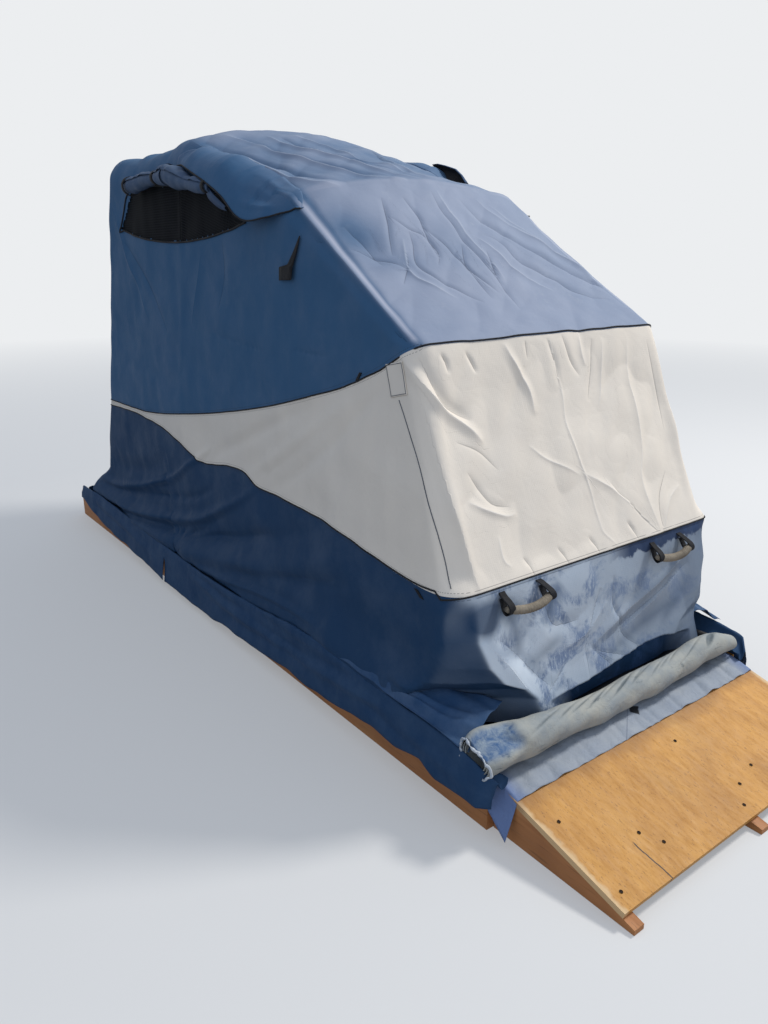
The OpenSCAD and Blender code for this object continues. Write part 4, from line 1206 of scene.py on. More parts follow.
# Each fold of the skirts: height and width in millimetres, and its line in the side view
SKIRT_FOLDS = [(12, 18, [(-0.35, 0.154), (-0.63, 0.151), (-0.85, 0.162), (-1.06, 0.178), (-1.28, 0.191),
                   (-1.5, 0.215)]),
               (-12, 16, [(-0.5, 0.168), (-0.63, 0.172), (-0.87, 0.182), (-1.05, 0.203), (-1.2, 0.212)]),
               (-8, 12, [(-0.56, 0.214), (-0.79, 0.213), (-1.05, 0.222), (-1.2, 0.226)]),
               (-9, 22, [(-0.2, 0.10), (-0.35, 0.106), (-0.74, 0.142), (-1.03, 0.172)]),
               (9, 14, [(0.1, 0.16), (-0.01, 0.163), (-0.22, 0.145), (-0.44, 0.137), (-0.6, 0.12)]),
               (-9, 13, [(0.05, 0.19), (-0.1, 0.18), (-0.3, 0.176), (-0.5, 0.19)]),
               (7, 20, [(1.5, 0.2), (1.1, 0.18), (0.7, 0.14), (0.5, 0.12)]),
               (-7, 20, [(1.45, 0.17), (1.1, 0.15), (0.8, 0.12)]),
               (-8, 16, [(-1.25, 0.17), (-1.45, 0.15), (-1.6, 0.15)]),
               (7, 20, [(-1.5, 0.19), (-1.65, 0.17), (-1.8, 0.15)])]
PROFILE_POINTS = 26
SLIT_AT, SLIT_TOP, SLIT_WIDTH = 0.40, 0.165, 0.05
WIDEST = 0.699
navy_cloth = plain_cloth("navy_skirt_cloth", linear(30, 58, 90), linear(66, 88, 114), 0.4, 16.0, 0.3)
stations = np.linspace(1.665, -1.868, 323)


def profile(y, side):
    """The skirt's line from its fastening, over the crest, down to the hem."""
    top, low = np.interp(y, *zip(*CREST)), np.interp(y, *zip(*HEM))
    knots = [(0.606, y, 0.186), (0.648, y, top - 0.03), (0.664, y, top - 0.004), (0.673, y, top - 0.006),
             (0.681, y, top * 0.6 + low * 0.4), (0.688, y, low + 0.03), (0.69, y, low)]
    line = smooth_line(knots, 0.008)
    even = np.linspace(0, len(line) - 1, PROFILE_POINTS)
    near = np.stack([np.interp(even, np.arange(len(line)), line[:, k]) for k in range(3)], 1)
    near[:, 0] -= 0.9 * max(-1.834 - y, 0)
    return near * [side, 1, 1]


def open_slit(mesh):
    """Cut a skirt from its hem up, and let the two corners part a little."""
    bm = bmesh.new()
    bm.from_mesh(mesh)
    line = min({round(v.co.y, 4) for v in bm.verts}, key=lambda y: abs(y - SLIT_AT))

    def on_slit(v):
        return abs(v.co.y - line) < 0.004 and v.co.z < SLIT_TOP and abs(v.co.x) > 0.66

    bmesh.ops.split_edges(bm, edges=[e for e in bm.edges if all(on_slit(v) for v in e.verts)])
    for v in bm.verts:
        if on_slit(v):
            middle = sum(f.calc_center_median().y for f in v.link_faces) / len(v.link_faces)
            part = SLIT_WIDTH / 2 * ((SLIT_TOP - v.co.z) / (SLIT_TOP - 0.035)) ** 0.7
            v.co.y += part if middle > line else -part
    bm.to_mesh(mesh)
    bm.free()


for side, word in SIDES:
    points = np.stack([profile(y, side) for y in stations])
    shift = 0.04 * (side > 0)
    folds = [(a / 1000, w / 1000, smooth_line([(side * 0.68, y + shift, z) for y, z in line]))
             for a, w, line in SKIRT_FOLDS]
    rise = fold_height(points, folds) + 0.002 * ripples(points, 16, 0.08, 0.3, 11 + side)
    points[..., 0] += side * rise * unit((np.abs(points[..., 0]) - 0.645) / 0.02)
    points[..., 0] = side * np.clip(np.abs(points[..., 0]), 0.60, WIDEST)
    waves = ripples(points, 8, 0.1, 0.4, 21)[:, -1:]
    points[..., 2] += 0.003 * waves * np.linspace(0, 1, PROFILE_POINTS) ** 2
    dress(f"skirt_cloth_{word}", points, (side * 0.5, 0, 0.1), navy_cloth, "root",
          node=f"skirt_{word}", held="hung", cut=open_slit)

# %% [markdown]
# ## Rear skirt and front flap
#
# At the back the skirt lies on the deck. At the front it comes out from under the roll, lies down the
# ramp, and a corner of it hangs over the ramp's edge on each side. Sun has faded it to lavender.

# %% Cloth that lies on the wood
RAMP_TILT, RAMP_START, DECK_HEIGHT = 14.3, -1.832, 0.158


def ramp_top(y):
    slope = DECK_HEIGHT + (y - RAMP_START) * np.tan(radians(RAMP_TILT))
    return float(np.where(y > RAMP_START, DECK_HEIGHT, slope))


def lying(name, spine, xs, droop_from, seed, material, node):
    """A strip of cloth that follows the wood, with small ripples, and droops past its edge."""
    line = smooth_line([(0, y, z) for y, z in spine], 0.006)
    points = np.repeat(line[:, None, :], len(xs), axis=1)
    points[..., 0] = xs
    points[..., 2] += 0.0035 * np.abs(ripples(points * [1, 0.4, 1], 14, 0.05, 0.16, seed))
    past = unit(np.abs(points[..., 0]) - droop_from)
    share = np.linspace(0, 1, len(line))[:, None]
    points[..., 2] -= past * (0.6 + 1.2 * share)
    points[..., 0] -= np.sign(points[..., 0]) * past * 0.35
    dress(name, points, (0, 0, -5), material, "root", 0.0012, node, "laid")


def reopened(material):
    """A finish that is to be changed: its tree, its main shader and the colour that goes in there."""
    tree = material.node_tree
    shader = next(n for n in tree.nodes if n.type == "BSDF_PRINCIPLED")
    return tree, shader, shader.inputs["Base Color"].links[0].from_socket


def flap_finish():
    """Lavender with dust, with painted shade in blue where it hangs over the ramp's edges, a seam and a burnt
    spot in it.
    """
    lavender, bluer = linear(150, 156, 163), linear(120, 131, 148)
    material = plain_cloth("lavender_flap_cloth", lavender, bluer, 0.6, 40.0, 0.8)
    tree, shader, colour = reopened(material)
    place = object_place(tree)
    x, y, _ = put(tree, "SeparateXYZ", {0: place}).outputs
    # Painted shade where the flap hangs over the ramp's edges
    hanging_shade = spread(tree, maths(tree, "ABSOLUTE", x), 0.55, 0.61, 0, 0.8)
    colour = mixed(tree, hanging_shade, colour, linear(86, 110, 158))
    seam = apart(tree, maths(tree, "MULTIPLY_ADD", y, -1.34, x), 2.445)
    colour = mixed(tree, spread(tree, seam, 0.001, 0.003, 0.5, 0), colour, linear(56, 66, 88))
    spot = maths(tree, "ADD", apart(tree, x, 0.012), apart(tree, y, -1.842))
    spot = maths(tree, "MULTIPLY_ADD", noise(tree, place, 60.0, 3.0), 0.014, spot)
    colour = mixed(tree, spread(tree, spot, 0.026, 0.032, 0.95, 0), colour, linear(14, 15, 18))
    feed(tree, shader, {"Base Color": colour})
    return material


lavender_cloth = flap_finish()
REAR_SPINE = [(1.606, 0.232), (1.622, 0.205), (1.63, 0.182), (1.655, 0.166), (1.70, 0.1605), (1.75, 0.1605)]
FLAP_SPINE = [(-1.79, 0.161), (-1.815, 0.162), (-1.834, 0.161), (-1.86, ramp_top(-1.86) + 0.004),
              (-1.915, ramp_top(-1.915) + 0.002)]
lying("rear_skirt_cloth", REAR_SPINE, np.linspace(-0.655, 0.655, 168), 0.7, 31,
      navy_cloth, "skirt_back")
lying("front_flap_cloth", FLAP_SPINE, np.linspace(-0.672, 0.672, 260), 0.606, 32,
      lavender_cloth, "skirt_front")

# %% [markdown]
# ## The rolled hem
#
# The cover's lower edge is rolled up round the hem bow, in two to three turns. So it is modelled as a
# spiral strip, as a rolled towel is, and its left end shows the turns. Diagonal creases run over it
# where the roll has been twisted.

# %% The roll
# Stations of the roll: x, y, z and its outer radius
ROLL = [(-0.668, -1.80, 0.246, 0.062), (-0.64, -1.80, 0.252, 0.070), (-0.60, -1.802, 0.254, 0.071),
        (-0.55, -1.806, 0.249, 0.066), (-0.474, -1.81, 0.240, 0.058), (-0.38, -1.812, 0.235, 0.053),
        (-0.26, -1.812, 0.224, 0.048), (-0.13, -1.812, 0.217, 0.047), (0.0, -1.812, 0.219, 0.050),
        (0.16, -1.812, 0.222, 0.050), (0.30, -1.811, 0.226, 0.046), (0.43, -1.81, 0.238, 0.048),
        (0.50, -1.812, 0.236, 0.045), (0.57, -1.815, 0.224, 0.036), (0.61, -1.818, 0.216, 0.028)]
ROLL_TURNS, ROLL_PITCH, ROLL_START = 2.7, 0.0085, -0.9
FLAP_TURNS, FLAP_PITCH, FLAP_START = 2.2, 0.0055, 0.6


def hem_finish():
    """The rolled hem's own finish: grey with dust, dark stained in blots, with painted shade in its creases
    and blue where it's clean.
    """
    material = plain_cloth("rolled_hem_cloth", linear(160, 160, 152), linear(118, 130, 140), 0.7, 34.0, 0.7)
    tree, shader, colour = reopened(material)
    place = object_place(tree)
    blots = noise(tree, scaled(tree, place, 9, 24, 24), 1.0, 5.0, 0.7, 0.6)
    colour = mixed(tree, spread(tree, blots, 0.58, 0.72, 0, 0.8), colour, linear(62, 76, 84))
    # Painted shade in the sunk creases, mixed with the dark blots
    crease_shade_and_blots = maths(tree, "MULTIPLY_ADD", blots, 0.5, named(tree, "dent"))
    colour = mixed(tree, spread(tree, crease_shade_and_blots, 0.55, 1.25, 0, 0.6), colour, linear(58, 74, 84))
    mottled = spread(tree, noise(tree, place, 30.0, 6.0, 0.7, 0.5), 0.38, 0.66)
    blue = mixed(tree, mottled, linear(62, 92, 130), linear(138, 150, 160))
    colour = mixed(tree, spread(tree, named(tree, "scoop"), 0.1, 0.45), colour, blue)
    feed(tree, shader, {"Base Color": colour})
    return material


rolled_cloth = hem_finish()


def turned_from(angle, centre):
    """How far an angle lies from another, the short way round."""
    return (angle[None] - centre + pi) % (2 * pi) - pi


def spiral(path, turns, pitch, start, samples, seed, creases=(), swell=0.003, spacing=0.008):
    """A strip of cloth rolled round a path; the path gives x, y, z and the outer radius.

    Most of the points go to the outer turn. Each dent is a place, slant, width, depth, turn and reach.
    """
    knots = smooth_line(path, spacing)
    outer = np.linspace(0, 2 * pi, 2 * samples // 3, endpoint=False)
    angle = start + np.concatenate([outer, np.linspace(2 * pi, turns * 2 * pi, samples // 3)])
    inset = pitch * (angle - start) / (2 * pi)
    radius = knots[:, 3][:, None] - inset[None]
    x = np.repeat(knots[:, 0][:, None], len(angle), axis=1)
    y = knots[:, 1][:, None] - radius * np.cos(angle)
    z = knots[:, 2][:, None] + radius * np.sin(angle)
    points = np.stack([x, y, z], 2)
    bulge = swell * ripples(points, 16, 0.05, 0.22, seed)
    bulge *= np.exp(-inset / (1.2 * pitch))[None]
    sunk = 0 * x
    for x0, slant, width, amount, centre, reach in creases:
        turned = turned_from(angle, centre)
        sunk += amount * np.exp(-((x - x0 - slant * turned) / width) ** 2) * np.exp(-(turned / reach) ** 2)
    turned = np.abs(turned_from(angle, 1.1)) / 0.95
    scoop = np.exp(-np.abs((x + 0.63 - 0.02 * turned) / 0.09) ** 5) * np.exp(-turned ** 4)
    bulge -= radius * (sunk / 0.05 + 0.62 * scoop)
    away = np.stack([0 * x, -np.cos(angle)[None] + 0 * x, np.sin(angle)[None] + 0 * x], 2)
    return points + away * bulge[..., None], {"dent": sunk / 0.006, "scoop": scoop}


dice = np.random.default_rng(4)
DENTS_AT = (-0.40, -0.31, -0.23, -0.16, -0.10, -0.05, 0.0, 0.05, 0.09, 0.14, 0.19, 0.26, 0.34)
creases = [(x, dice.uniform(0.10, 0.15), dice.uniform(0.010, 0.014), dice.uniform(0.0035, 0.006),
            dice.uniform(1.2, 1.7), 0.5) for x in DENTS_AT]
creases += [(0.46, 0.06, 0.022, 0.012, 1.3, 0.6)]
points, marks = spiral(ROLL, ROLL_TURNS, ROLL_PITCH, ROLL_START, 198, 41, creases, 0.002, 0.006)
roll_end = points[0].copy()
dress("rolled_hem", points, (0, -1.81, 0.235), rolled_cloth, "hem_frame",
      node="hem_roll", held="folded", numbers=marks)

# %% The cloth between the cover and the roll
# It leaves the cover's lower edge, and goes into the roll at its core
edge = skin[-1][(np.abs(flat_skin[-1][:, 0]) < 0.6) & (flat_skin[-1][:, 1] < -1.6)]
roll = np.array(ROLL)
core = np.stack([np.interp(edge[:, 0], roll[:, 0], roll[:, k]) for k in (1, 2)], 1)
down = np.linspace(0, 1, 12)[:, None, None]
start = edge + [0, 0.004, 0.012]
points = start[None] * (1 - down) + np.concatenate([edge[:, :1], core], 1)[None] * down
points[..., 2] -= 0.012 * np.sin(pi * down[..., 0])
# It is painted almost black, as the shade in the gap above the roll
painted_shade_cloth = plain_cloth("painted_shade_gap_cloth", linear(12, 16, 24), linear(26, 32, 42), 0.4, 20.0, 0.5)
dress("hem_web", points, (0, -1.7, -0.5), painted_shade_cloth, "hem_frame", held="stretched")

# %% [markdown]
# ## Window screens
#
# Black net closes the windows. It is a sheet of its own just inside the cover, a little larger than
# the opening, and it folds with the same two bays. The net lets some light through.

# %% Net and its sheets
net, tree, shader = shader_for("black_window_net", 0.8)
strands = weave(tree, 30.0)
threads = mixed(tree, spread(tree, strands, 0.4, 0.9), linear(6, 8, 11), linear(22, 25, 30))
feed(tree, shader, {"Base Color": threads, "Alpha": 0.96, "Specular IOR Level": 0.06})
bumped(tree, shader, strands, 0.4, 0.0006)

HALVES = (("left", slice(0, SIDE_COLUMNS)), ("right", slice(SIDE_COLUMNS, None)))
for bay, node in zip(WINDOW_BAYS, ("vent_mesh_rear", "vent_mesh_front")):
    part = rows_in(bay)
    for word, half in HALVES:
        past = past_window[part, half]
        rows, columns = np.where(past < 0.002)
        near = (slice(max(rows.min() - 1, 0), rows.max() + 2), slice(columns.min() - 1, columns.max() + 2))
        points = uncut_skin[part, half][near] - normals[part, half][near] * 0.004
        kept = {"past_window": np.where(past[near] < 0.02, 1.0, -1.0),
                "share": turn_share(fan_angle[part, half][near], bay)}
        dress(f"{node}_{word}", points, (0, 0.2, 1.7), net, bay, 0.0006, node,
              "stretched", kept, cut=cut_window)

# %% [markdown]
# ## Piping, bindings and other cords that are sewn on
#
# Piping is a thin cord sewn into a seam. Each run is a tube swept along points that are laid on the
# skin, and it is parted at the bows like the cloth that it is sewn to.

# %% Tubes along the skin
tree_of_skin = KDTree(skin.shape[0] * skin.shape[1])
for k, spot in enumerate(skin.reshape(-1, 3)):
    tree_of_skin.insert(spot, k)
tree_of_skin.balance()
flat_normals = normals.reshape(-1, 3)


def on_skin(points, lift=0.0):
    """Lay rough points on the cover, lifted off it by so much."""
    laid = []
    for p in points:
        _, k, _ = tree_of_skin.find(p)
        near, way = skin.reshape(-1, 3)[k], flat_normals[k]
        laid.append(p - way * ((p - near) @ way) + way * lift)
    return np.array(laid)


def tube_mesh(name, path, radius, sides=8):
    """A round tube along a path; radius is one number or one for each point."""
    path = np.asarray(path, float)
    radius = np.broadcast_to(radius, len(path))
    ahead = np.gradient(path, axis=0)
    ahead /= np.linalg.norm(ahead, axis=1, keepdims=True)
    across = np.cross(ahead[0], [0.3, 0.2, 1])
    rings = []
    for spot, way, r in zip(path, ahead, radius):
        across = across - way * (across @ way)
        across /= np.linalg.norm(across)
        turn = np.linspace(0, 2 * pi, sides + 1)[:, None]
        rings.append(spot + r * (np.cos(turn) * across + np.sin(turn) * np.cross(way, across)))
    mesh = sheet_mesh(name, np.array(rings))
    bm = bmesh.new()
    bm.from_mesh(mesh)
    bmesh.ops.remove_doubles(bm, verts=bm.verts, dist=1e-6)
    bmesh.ops.holes_fill(bm, edges=[e for e in bm.edges if e.is_boundary], sides=0)
    bmesh.ops.recalc_face_normals(bm, faces=bm.faces)
    bm.to_mesh(mesh)
    bm.free()
    return mesh


def bay_of(points):
    """The bay at each point, from its angle about the pin; -1 is the rear wall."""
    return np.searchsorted(-np.array(ANGLE[:5]), -fan_of(points) + 0.02) - 1


PIPING = 0.0028
SEAM_ENDS = {3: 1.327, 4: 0.65}
piping = plain_cloth("black_piping", linear(26, 27, 30), linear(64, 66, 70), 0.35, 60.0, 0.4)


def sew(name, path, radius=PIPING):
    """Piping along the skin, parted where it crosses a bow."""
    bays = bay_of(path)
    cuts = [0, *(np.nonzero(np.diff(bays))[0] + 1), len(path)]
    for k, (a, b) in enumerate(zip(cuts[:-1], cuts[1:])):
        if b - a < 2 and k:
            continue
        part = f"{name}_{k + 1}"
        mesh = tube_mesh(part, path[max(a - 1, 0):b + 1], radius)
        fold_with(new_piece(part, mesh, piping), int(bays[a]))


def along_bow(bow):
    """The run over a bow from one end of its white seam to the other, just off the skin."""
    row = row_of[bow + 2]
    line = skin[row] + normals[row] * 0.001
    return line[line[:, 2] > SEAM_ENDS[bow]]


for side, word in SIDES:
    upper = smooth_line([(side * 0.6, y, z) for y, z in UPPER_SEAM], 0.012)
    lower = smooth_line([(side * 0.6, y, z) for y, z in LOWER_SEAM], 0.012)
    upper = on_skin(upper[upper[:, 1] > -1.325], 0.001)
    corner = along_bow(3)[[0 if side < 0 else -1]]
    sew(f"upper_piping_{word}", np.concatenate([upper, corner]))
    lower = lower[lower[:, 1] > -1.585]
    corner = along_bow(4)[[0 if side < 0 else -1]]
    knots = np.concatenate([lower[-2:], (lower[-1:] + corner) / 2, corner])
    joint = smooth_line(knots, 0.008)[:-1]
    lower = on_skin(np.concatenate([lower[:-2], joint]), 0.001)
    apart_enough = np.concatenate([[True], np.linalg.norm(np.diff(lower, axis=0), axis=1) > 0.003])
    sew(f"lower_piping_{word}", np.concatenate([lower[apart_enough], corner]))
    rim = np.concatenate([window, window[:1]])
    rim = smooth_line(np.stack([np.full(len(rim), side * 0.58), rim[:, 0], rim[:, 1]], 1), 0.012)
    sew(f"window_binding_{word}", on_skin(rim, 0.002), 0.004)
sew("brow_piping", along_bow(3))
sew("low_piping", along_bow(4))
print("piping laid")

# %% [markdown]
# ## Rolled window flaps
#
# Each window has a cloth flap that is rolled up and tied above it. The roll is loose: it bulges where
# a tie lets it open, and is narrow under the next tie. The tail of its cloth hangs free in front.

# %% The flaps, their ties and tails
flap_cloth = plain_cloth("grey_blue_flap_cloth", linear(52, 72, 100), linear(96, 110, 128), 0.6, 24.0, 0.6)
webbing = plain_cloth("black_webbing", linear(22, 23, 26), linear(52, 54, 58), 0.4, 120.0, 0.5)
WEBBING = 0.002
# Stations of the rolled flaps, laid out like those of the hem's roll, then the ties: y, z, radius and bay
REAR_FLAP = [(0.598, 0.66, 1.862, 0.026), (0.6, 0.60, 1.868, 0.036), (0.603, 0.52, 1.873, 0.037),
             (0.603, 0.42, 1.880, 0.034), (0.602, 0.33, 1.884, 0.028), (0.602, 0.292, 1.885, 0.025),
             (0.603, 0.25, 1.885, 0.033), (0.605, 0.17, 1.883, 0.043)]
FRONT_FLAP = [(0.605, 0.16, 1.883, 0.043), (0.606, 0.1, 1.872, 0.046), (0.605, 0.03, 1.856, 0.037),
              (0.603, -0.06, 1.838, 0.032), (0.602, -0.14, 1.828, 0.028), (0.601, -0.182, 1.825, 0.021),
              (0.6, -0.22, 1.822, 0.028)]
TIES = ((0.60, 1.868, 0.041, 0), (0.292, 1.885, 0.029, 0), (-0.182, 1.825, 0.025, 1))
TAIL = [[(0.606, -0.18, 1.838), (0.612, -0.24, 1.80), (0.604, -0.30, 1.762), (0.592, -0.342, 1.731)],
        [(0.604, -0.175, 1.82), (0.608, -0.22, 1.785), (0.6, -0.285, 1.75), (0.591, -0.341, 1.73)],
        [(0.601, -0.17, 1.80), (0.603, -0.2, 1.775), (0.597, -0.27, 1.742), (0.59, -0.34, 1.729)]]


def roll_along(path, seed, side):
    """A rolled strip whose path runs along the shelter."""
    turned = [(y, side * x, z, r) for x, y, z, r in path]
    points, _ = spiral(turned, FLAP_TURNS, FLAP_PITCH, FLAP_START, 84, seed, swell=0.0035)
    return points[..., [1, 0, 2]]


for side, word in SIDES:
    for path, bay, end in ((REAR_FLAP, 0, "rear"), (FRONT_FLAP, 1, "front")):
        points = roll_along(path, 51 + bay, side)
        core = (side * 0.602, np.mean([p[1] for p in path]), np.mean([p[2] for p in path]))
        dress(f"rolled_flap_{end}_{word}", points, core, flap_cloth, bay,
              node=f"vent_flap_{end}", held="folded")
    for y, z, r, bay in TIES:
        turn = np.linspace(0, 2 * pi, 29)
        ring = np.stack([side * 0.601 + r * np.cos(turn), np.full(29, y), z + r * np.sin(turn)], 1)
        band = np.stack([ring + [0, -0.012, 0], ring + [0, 0.012, 0]])
        name = f"flap_tie_{word}_{round(y * 1000)}".replace("-", "front_")
        dress(name, band, (side * 0.601, y, z), webbing, bay, WEBBING)
    points = np.array([smooth_line(row, 0.008)[:22] for row in TAIL]) * [side, 1, 1]
    dress(f"flap_tail_{word}", points, (0, -0.25, 1.77), flap_cloth, 1, held="hung")

# %% [markdown]
# ## Hoods over the windows
#
# The roof cloth runs on past the roof's edge as a small hood over the front end of each window. It
# billows out from the roof without a seam, and its lower edge carries piping. It is one curved sheet:
# each station leaves the roof along the roof's own slope and turns down to the edge, as a Hermite
# curve between those two places and directions.

# %% The hoods
HOOD_EDGE = [(0.552, 0.17, 1.925), (0.575, 0.10, 1.922), (0.600, -0.02, 1.893), (0.618, -0.20, 1.838),
             (0.625, -0.34, 1.782), (0.625, -0.44, 1.716), (0.617, -0.51, 1.694), (0.60, -0.60, 1.702),
             (0.578, -0.69, 1.722), (0.556, -0.765, 1.737)]
HOOD_TOP = [(0.53, 0.175, 1.95), (0.50, 0.11, 1.96), (0.46, 0.0, 1.95), (0.43, -0.16, 1.92),
            (0.43, -0.30, 1.88), (0.44, -0.42, 1.85), (0.45, -0.50, 1.83), (0.47, -0.60, 1.80),
            (0.50, -0.70, 1.77), (0.545, -0.77, 1.74)]
HOOD_FOLDS = [
    (0.008, 0.012, [(0.54, -0.22, 1.87), (0.52, -0.385, 1.848), (0.512, -0.528, 1.81), (0.52, -0.66, 1.768)]),
    (-0.009, 0.014, [(0.60, -0.12, 1.87), (0.585, -0.30, 1.82), (0.57, -0.46, 1.78), (0.555, -0.62, 1.75)]),
    (0.006, 0.010, [(0.615, -0.22, 1.83), (0.605, -0.38, 1.77), (0.59, -0.52, 1.74), (0.57, -0.68, 1.735)])]
HOOD_STEPS, HOOD_ROWS = 100, 26


def evenly(line, count):
    """The same line with so many points."""
    run = np.linspace(0, 1, count), np.linspace(0, 1, len(line))
    return np.stack([np.interp(*run, line[:, k]) for k in range(3)], 1)


def off_seams(shape, fade, upper):
    """What the cover's finish reads, for cloth away from seams: upper is 1 for blue and -1 for white."""
    ones = np.ones(shape)
    return {"fade": fade * ones, "worn": 0 * ones, "crease": ones, "over_upper": upper * ones,
            "over_lower": ones}


for side, word in SIDES:
    edge = evenly(smooth_line(np.array(HOOD_EDGE) * [side, 1, 1], 0.01), HOOD_STEPS)
    top = on_skin(evenly(smooth_line(np.array(HOOD_TOP) * [side, 1, 1], 0.01), HOOD_STEPS), 0.0004)
    on_it = np.interp(np.linspace(0, 1, HOOD_STEPS), [0, 0.08, 0.82, 0.94], [1, 0, 0, 1])[:, None]
    edge = edge * (1 - on_it) + on_skin(edge, 0.003) * on_it
    wide = np.linalg.norm(edge - top, axis=1)[:, None]
    leave = on_skin(top + [side * 0.03, 0, -0.006], 0.0004) - top
    leave /= np.linalg.norm(leave, axis=1)[:, None] + 1e-9
    leave[:, 2] += 0.10 + 0.6 * (side > 0) * np.interp(top[:, 1], [-0.27, -0.20, 0.03, 0.13], [0, 1, 1, 0])
    arrive = np.array([side * 0.35, 0, -1.0])
    t = np.linspace(1, 0, HOOD_ROWS)[:, None, None]
    points = ((2 * t**3 - 3 * t**2 + 1) * top + (t**3 - 2 * t**2 + t) * leave * wide * 1.5
              + (3 * t**2 - 2 * t**3) * edge + (t**3 - t**2) * arrive * wide * 0.9)
    lines = [(a, w, smooth_line(np.array(line) * [side, 1, 1], 0.01)) for a, w, line in HOOD_FOLDS]
    rise = fold_height(points, lines)
    rise += 0.0025 * np.sin(pi * t[..., 0]) * ripples(points, 12, 0.1, 0.25, 61)
    points += outward(points) * rise[..., None]
    fade_and_light_share = np.interp(t[..., 0], [0, 0.3, 1], [0.16, 0.05, 0.0])
    dress(f"window_hood_{word}", points, (side * 0.5, -0.35, 1.7), cover_material, 1,
          node="vent_visors", held="stretched", numbers=off_seams(points.shape[:2], fade_and_light_share, 1))
    sew(f"hood_piping_{word}", points[0] + [0, 0, -0.001], 0.003)

# On the right the hood's lip stands off the roof's edge; a sheet of black webbing under it is painted shade,
# seen from the left
LIP = np.array([(0.52, -0.170, 1.962, 1.915), (0.52, -0.20, 1.963, 1.910), (0.52, -0.256, 1.951, 1.900),
                (0.52, -0.325, 1.932, 1.886), (0.52, -0.366, 1.905, 1.870), (0.52, -0.395, 1.872, 1.858)])
lip, foot = evenly(LIP[:, :3], 50), evenly(LIP[:, [0, 1, 3]], 50)
down = np.linspace(0, 1, 9)[:, None, None]
points = lip[None] * (1 - down) + foot[None] * down
points[..., 0] += 0.018 * np.sin(pi * down[..., 0]) - 0.012 * down[..., 0]
dress("hood_painted_shade_right", points, (0.8, 0, 1.9), webbing, 1, held="stretched")
outside = points[:6] + [0.006, 0, 0.003]
mesh = sheet_mesh("hood_lip_right", np.concatenate([points[:1] + [-0.003, 0, 0.002], outside]))
face_out(mesh, (0, 0, 1.9))
lip = new_piece("hood_lip_right", mesh, flap_cloth, CLOTH)
fold_with(lip, 1)
declare(outside)

# %% [markdown]
# ## Cloth bunched at the front corners
#
# Where the cover's side, its front and the rolled hem meet, there is more cloth than place. It hangs
# as a pouch over the end of the roll and spreads over the skirt. Each bunch is one sheet that comes
# out from under the pouch, with tucks that run along it. The roll's own left end is frayed.

# %% The bunches
# Stations of a bunch: its inner edge, its outer edge and how far it rises between them
BUNCH = [((0.640, -1.00, 0.283), (0.668, -1.00, 0.270), 0.003),
         ((0.640, -1.25, 0.312), (0.674, -1.25, 0.266), 0.007),
         ((0.630, -1.42, 0.312), (0.677, -1.42, 0.264), 0.010),
         ((0.600, -1.52, 0.312), (0.680, -1.56, 0.264), 0.012),
         ((0.540, -1.585, 0.310), (0.682, -1.66, 0.264), 0.014),
         ((0.490, -1.645, 0.306), (0.678, -1.735, 0.256), 0.018),
         ((0.460, -1.70, 0.296), (0.655, -1.765, 0.238), 0.018)]
# Each tuck: its height, its width and its line
TUCKS = [(0.018, 0.011, [(0.668, -1.30, 0.290), (0.668, -1.50, 0.290), (0.650, -1.66, 0.290),
             (0.59, -1.75, 0.295)]),
         (-0.016, 0.011, [(0.672, -1.35, 0.277), (0.676, -1.55, 0.277), (0.668, -1.70, 0.275),
             (0.62, -1.77, 0.28)]),
         (0.016, 0.010, [(0.655, -1.45, 0.305), (0.64, -1.58, 0.308), (0.60, -1.68, 0.31),
             (0.54, -1.72, 0.31)])]
bunch_cloth = plain_cloth("dusty_bunch_cloth", linear(42, 70, 104), linear(86, 106, 132), 0.5, 14.0, 0.5)
BUNCH_STEPS = 20
for side, word, used in ((-1, "left", 7), (1, "right", 6)):
    run = np.linspace(0, used - 1, BUNCH_STEPS * (used - 1) + 1)
    knots = np.array([[*a, *b, rise] for a, b, rise in BUNCH[:used]])
    spread_out = np.stack([np.interp(run, np.arange(used), knots[:, k]) for k in range(7)], 1)
    for _ in range(10):
        spread_out[1:-1] = (spread_out[:-2] + 2 * spread_out[1:-1] + spread_out[2:]) / 4
    share = np.linspace(0, 1, 34)[None, :, None]
    points = spread_out[:, None, :3] * (1 - share) + spread_out[:, None, 3:6] * share
    points[..., 2] += spread_out[:, 6:] * np.sin(pi * share[..., 0]) ** 0.8
    points[..., 0] += 0.3 * spread_out[:, 6:] * np.sin(pi * share[..., 0])
    tucks = [(a, w, smooth_line(line, 0.01)) for a, w, line in TUCKS]
    points[..., 2] += fold_height(points, tucks)
    points[..., 2] += 0.004 * ripples(points * [1, 0.5, 1], 16, 0.04, 0.13, 71)
    points[..., 0] = side * np.minimum(points[..., 0], WIDEST)
    dress(f"corner_bunch_{word}", points, (0, -1.3, 0.1), bunch_cloth, 4, held="gathered")

# The roll's own left end is torn, and pale threads stand out round it
end = roll_end[:126:3]
torn = end + 0.004 * np.stack([ripples(end, 9, 0.02, 0.05, s) for s in (81, 82, 83)], 1) - [0.002, 0, 0]
torn = smooth_line(torn, 0.004)
frayed = plain_cloth("frayed_threads", linear(196, 202, 208), linear(128, 140, 156), 0.7, 200.0, 0.9)
thick = 0.0036 + 0.0012 * ripples(torn, 6, 0.01, 0.03, 84)
ends = new_piece("frayed_edge", tube_mesh("frayed_edge", torn, thick), frayed)
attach(ends, "hem_frame")

# %% [markdown]
# ## Grab handles
#
# Each handle is a padded grip on two webbing loops that hang from the seam under the white panel. The
# grip bows outwards a little and is wound with pale tape, and the loops' ends stick out beside it.

# %% The handles
grip_tape = plain_cloth("grip_tape", linear(150, 140, 124), linear(84, 78, 70), 0.8, 160.0, 0.8)


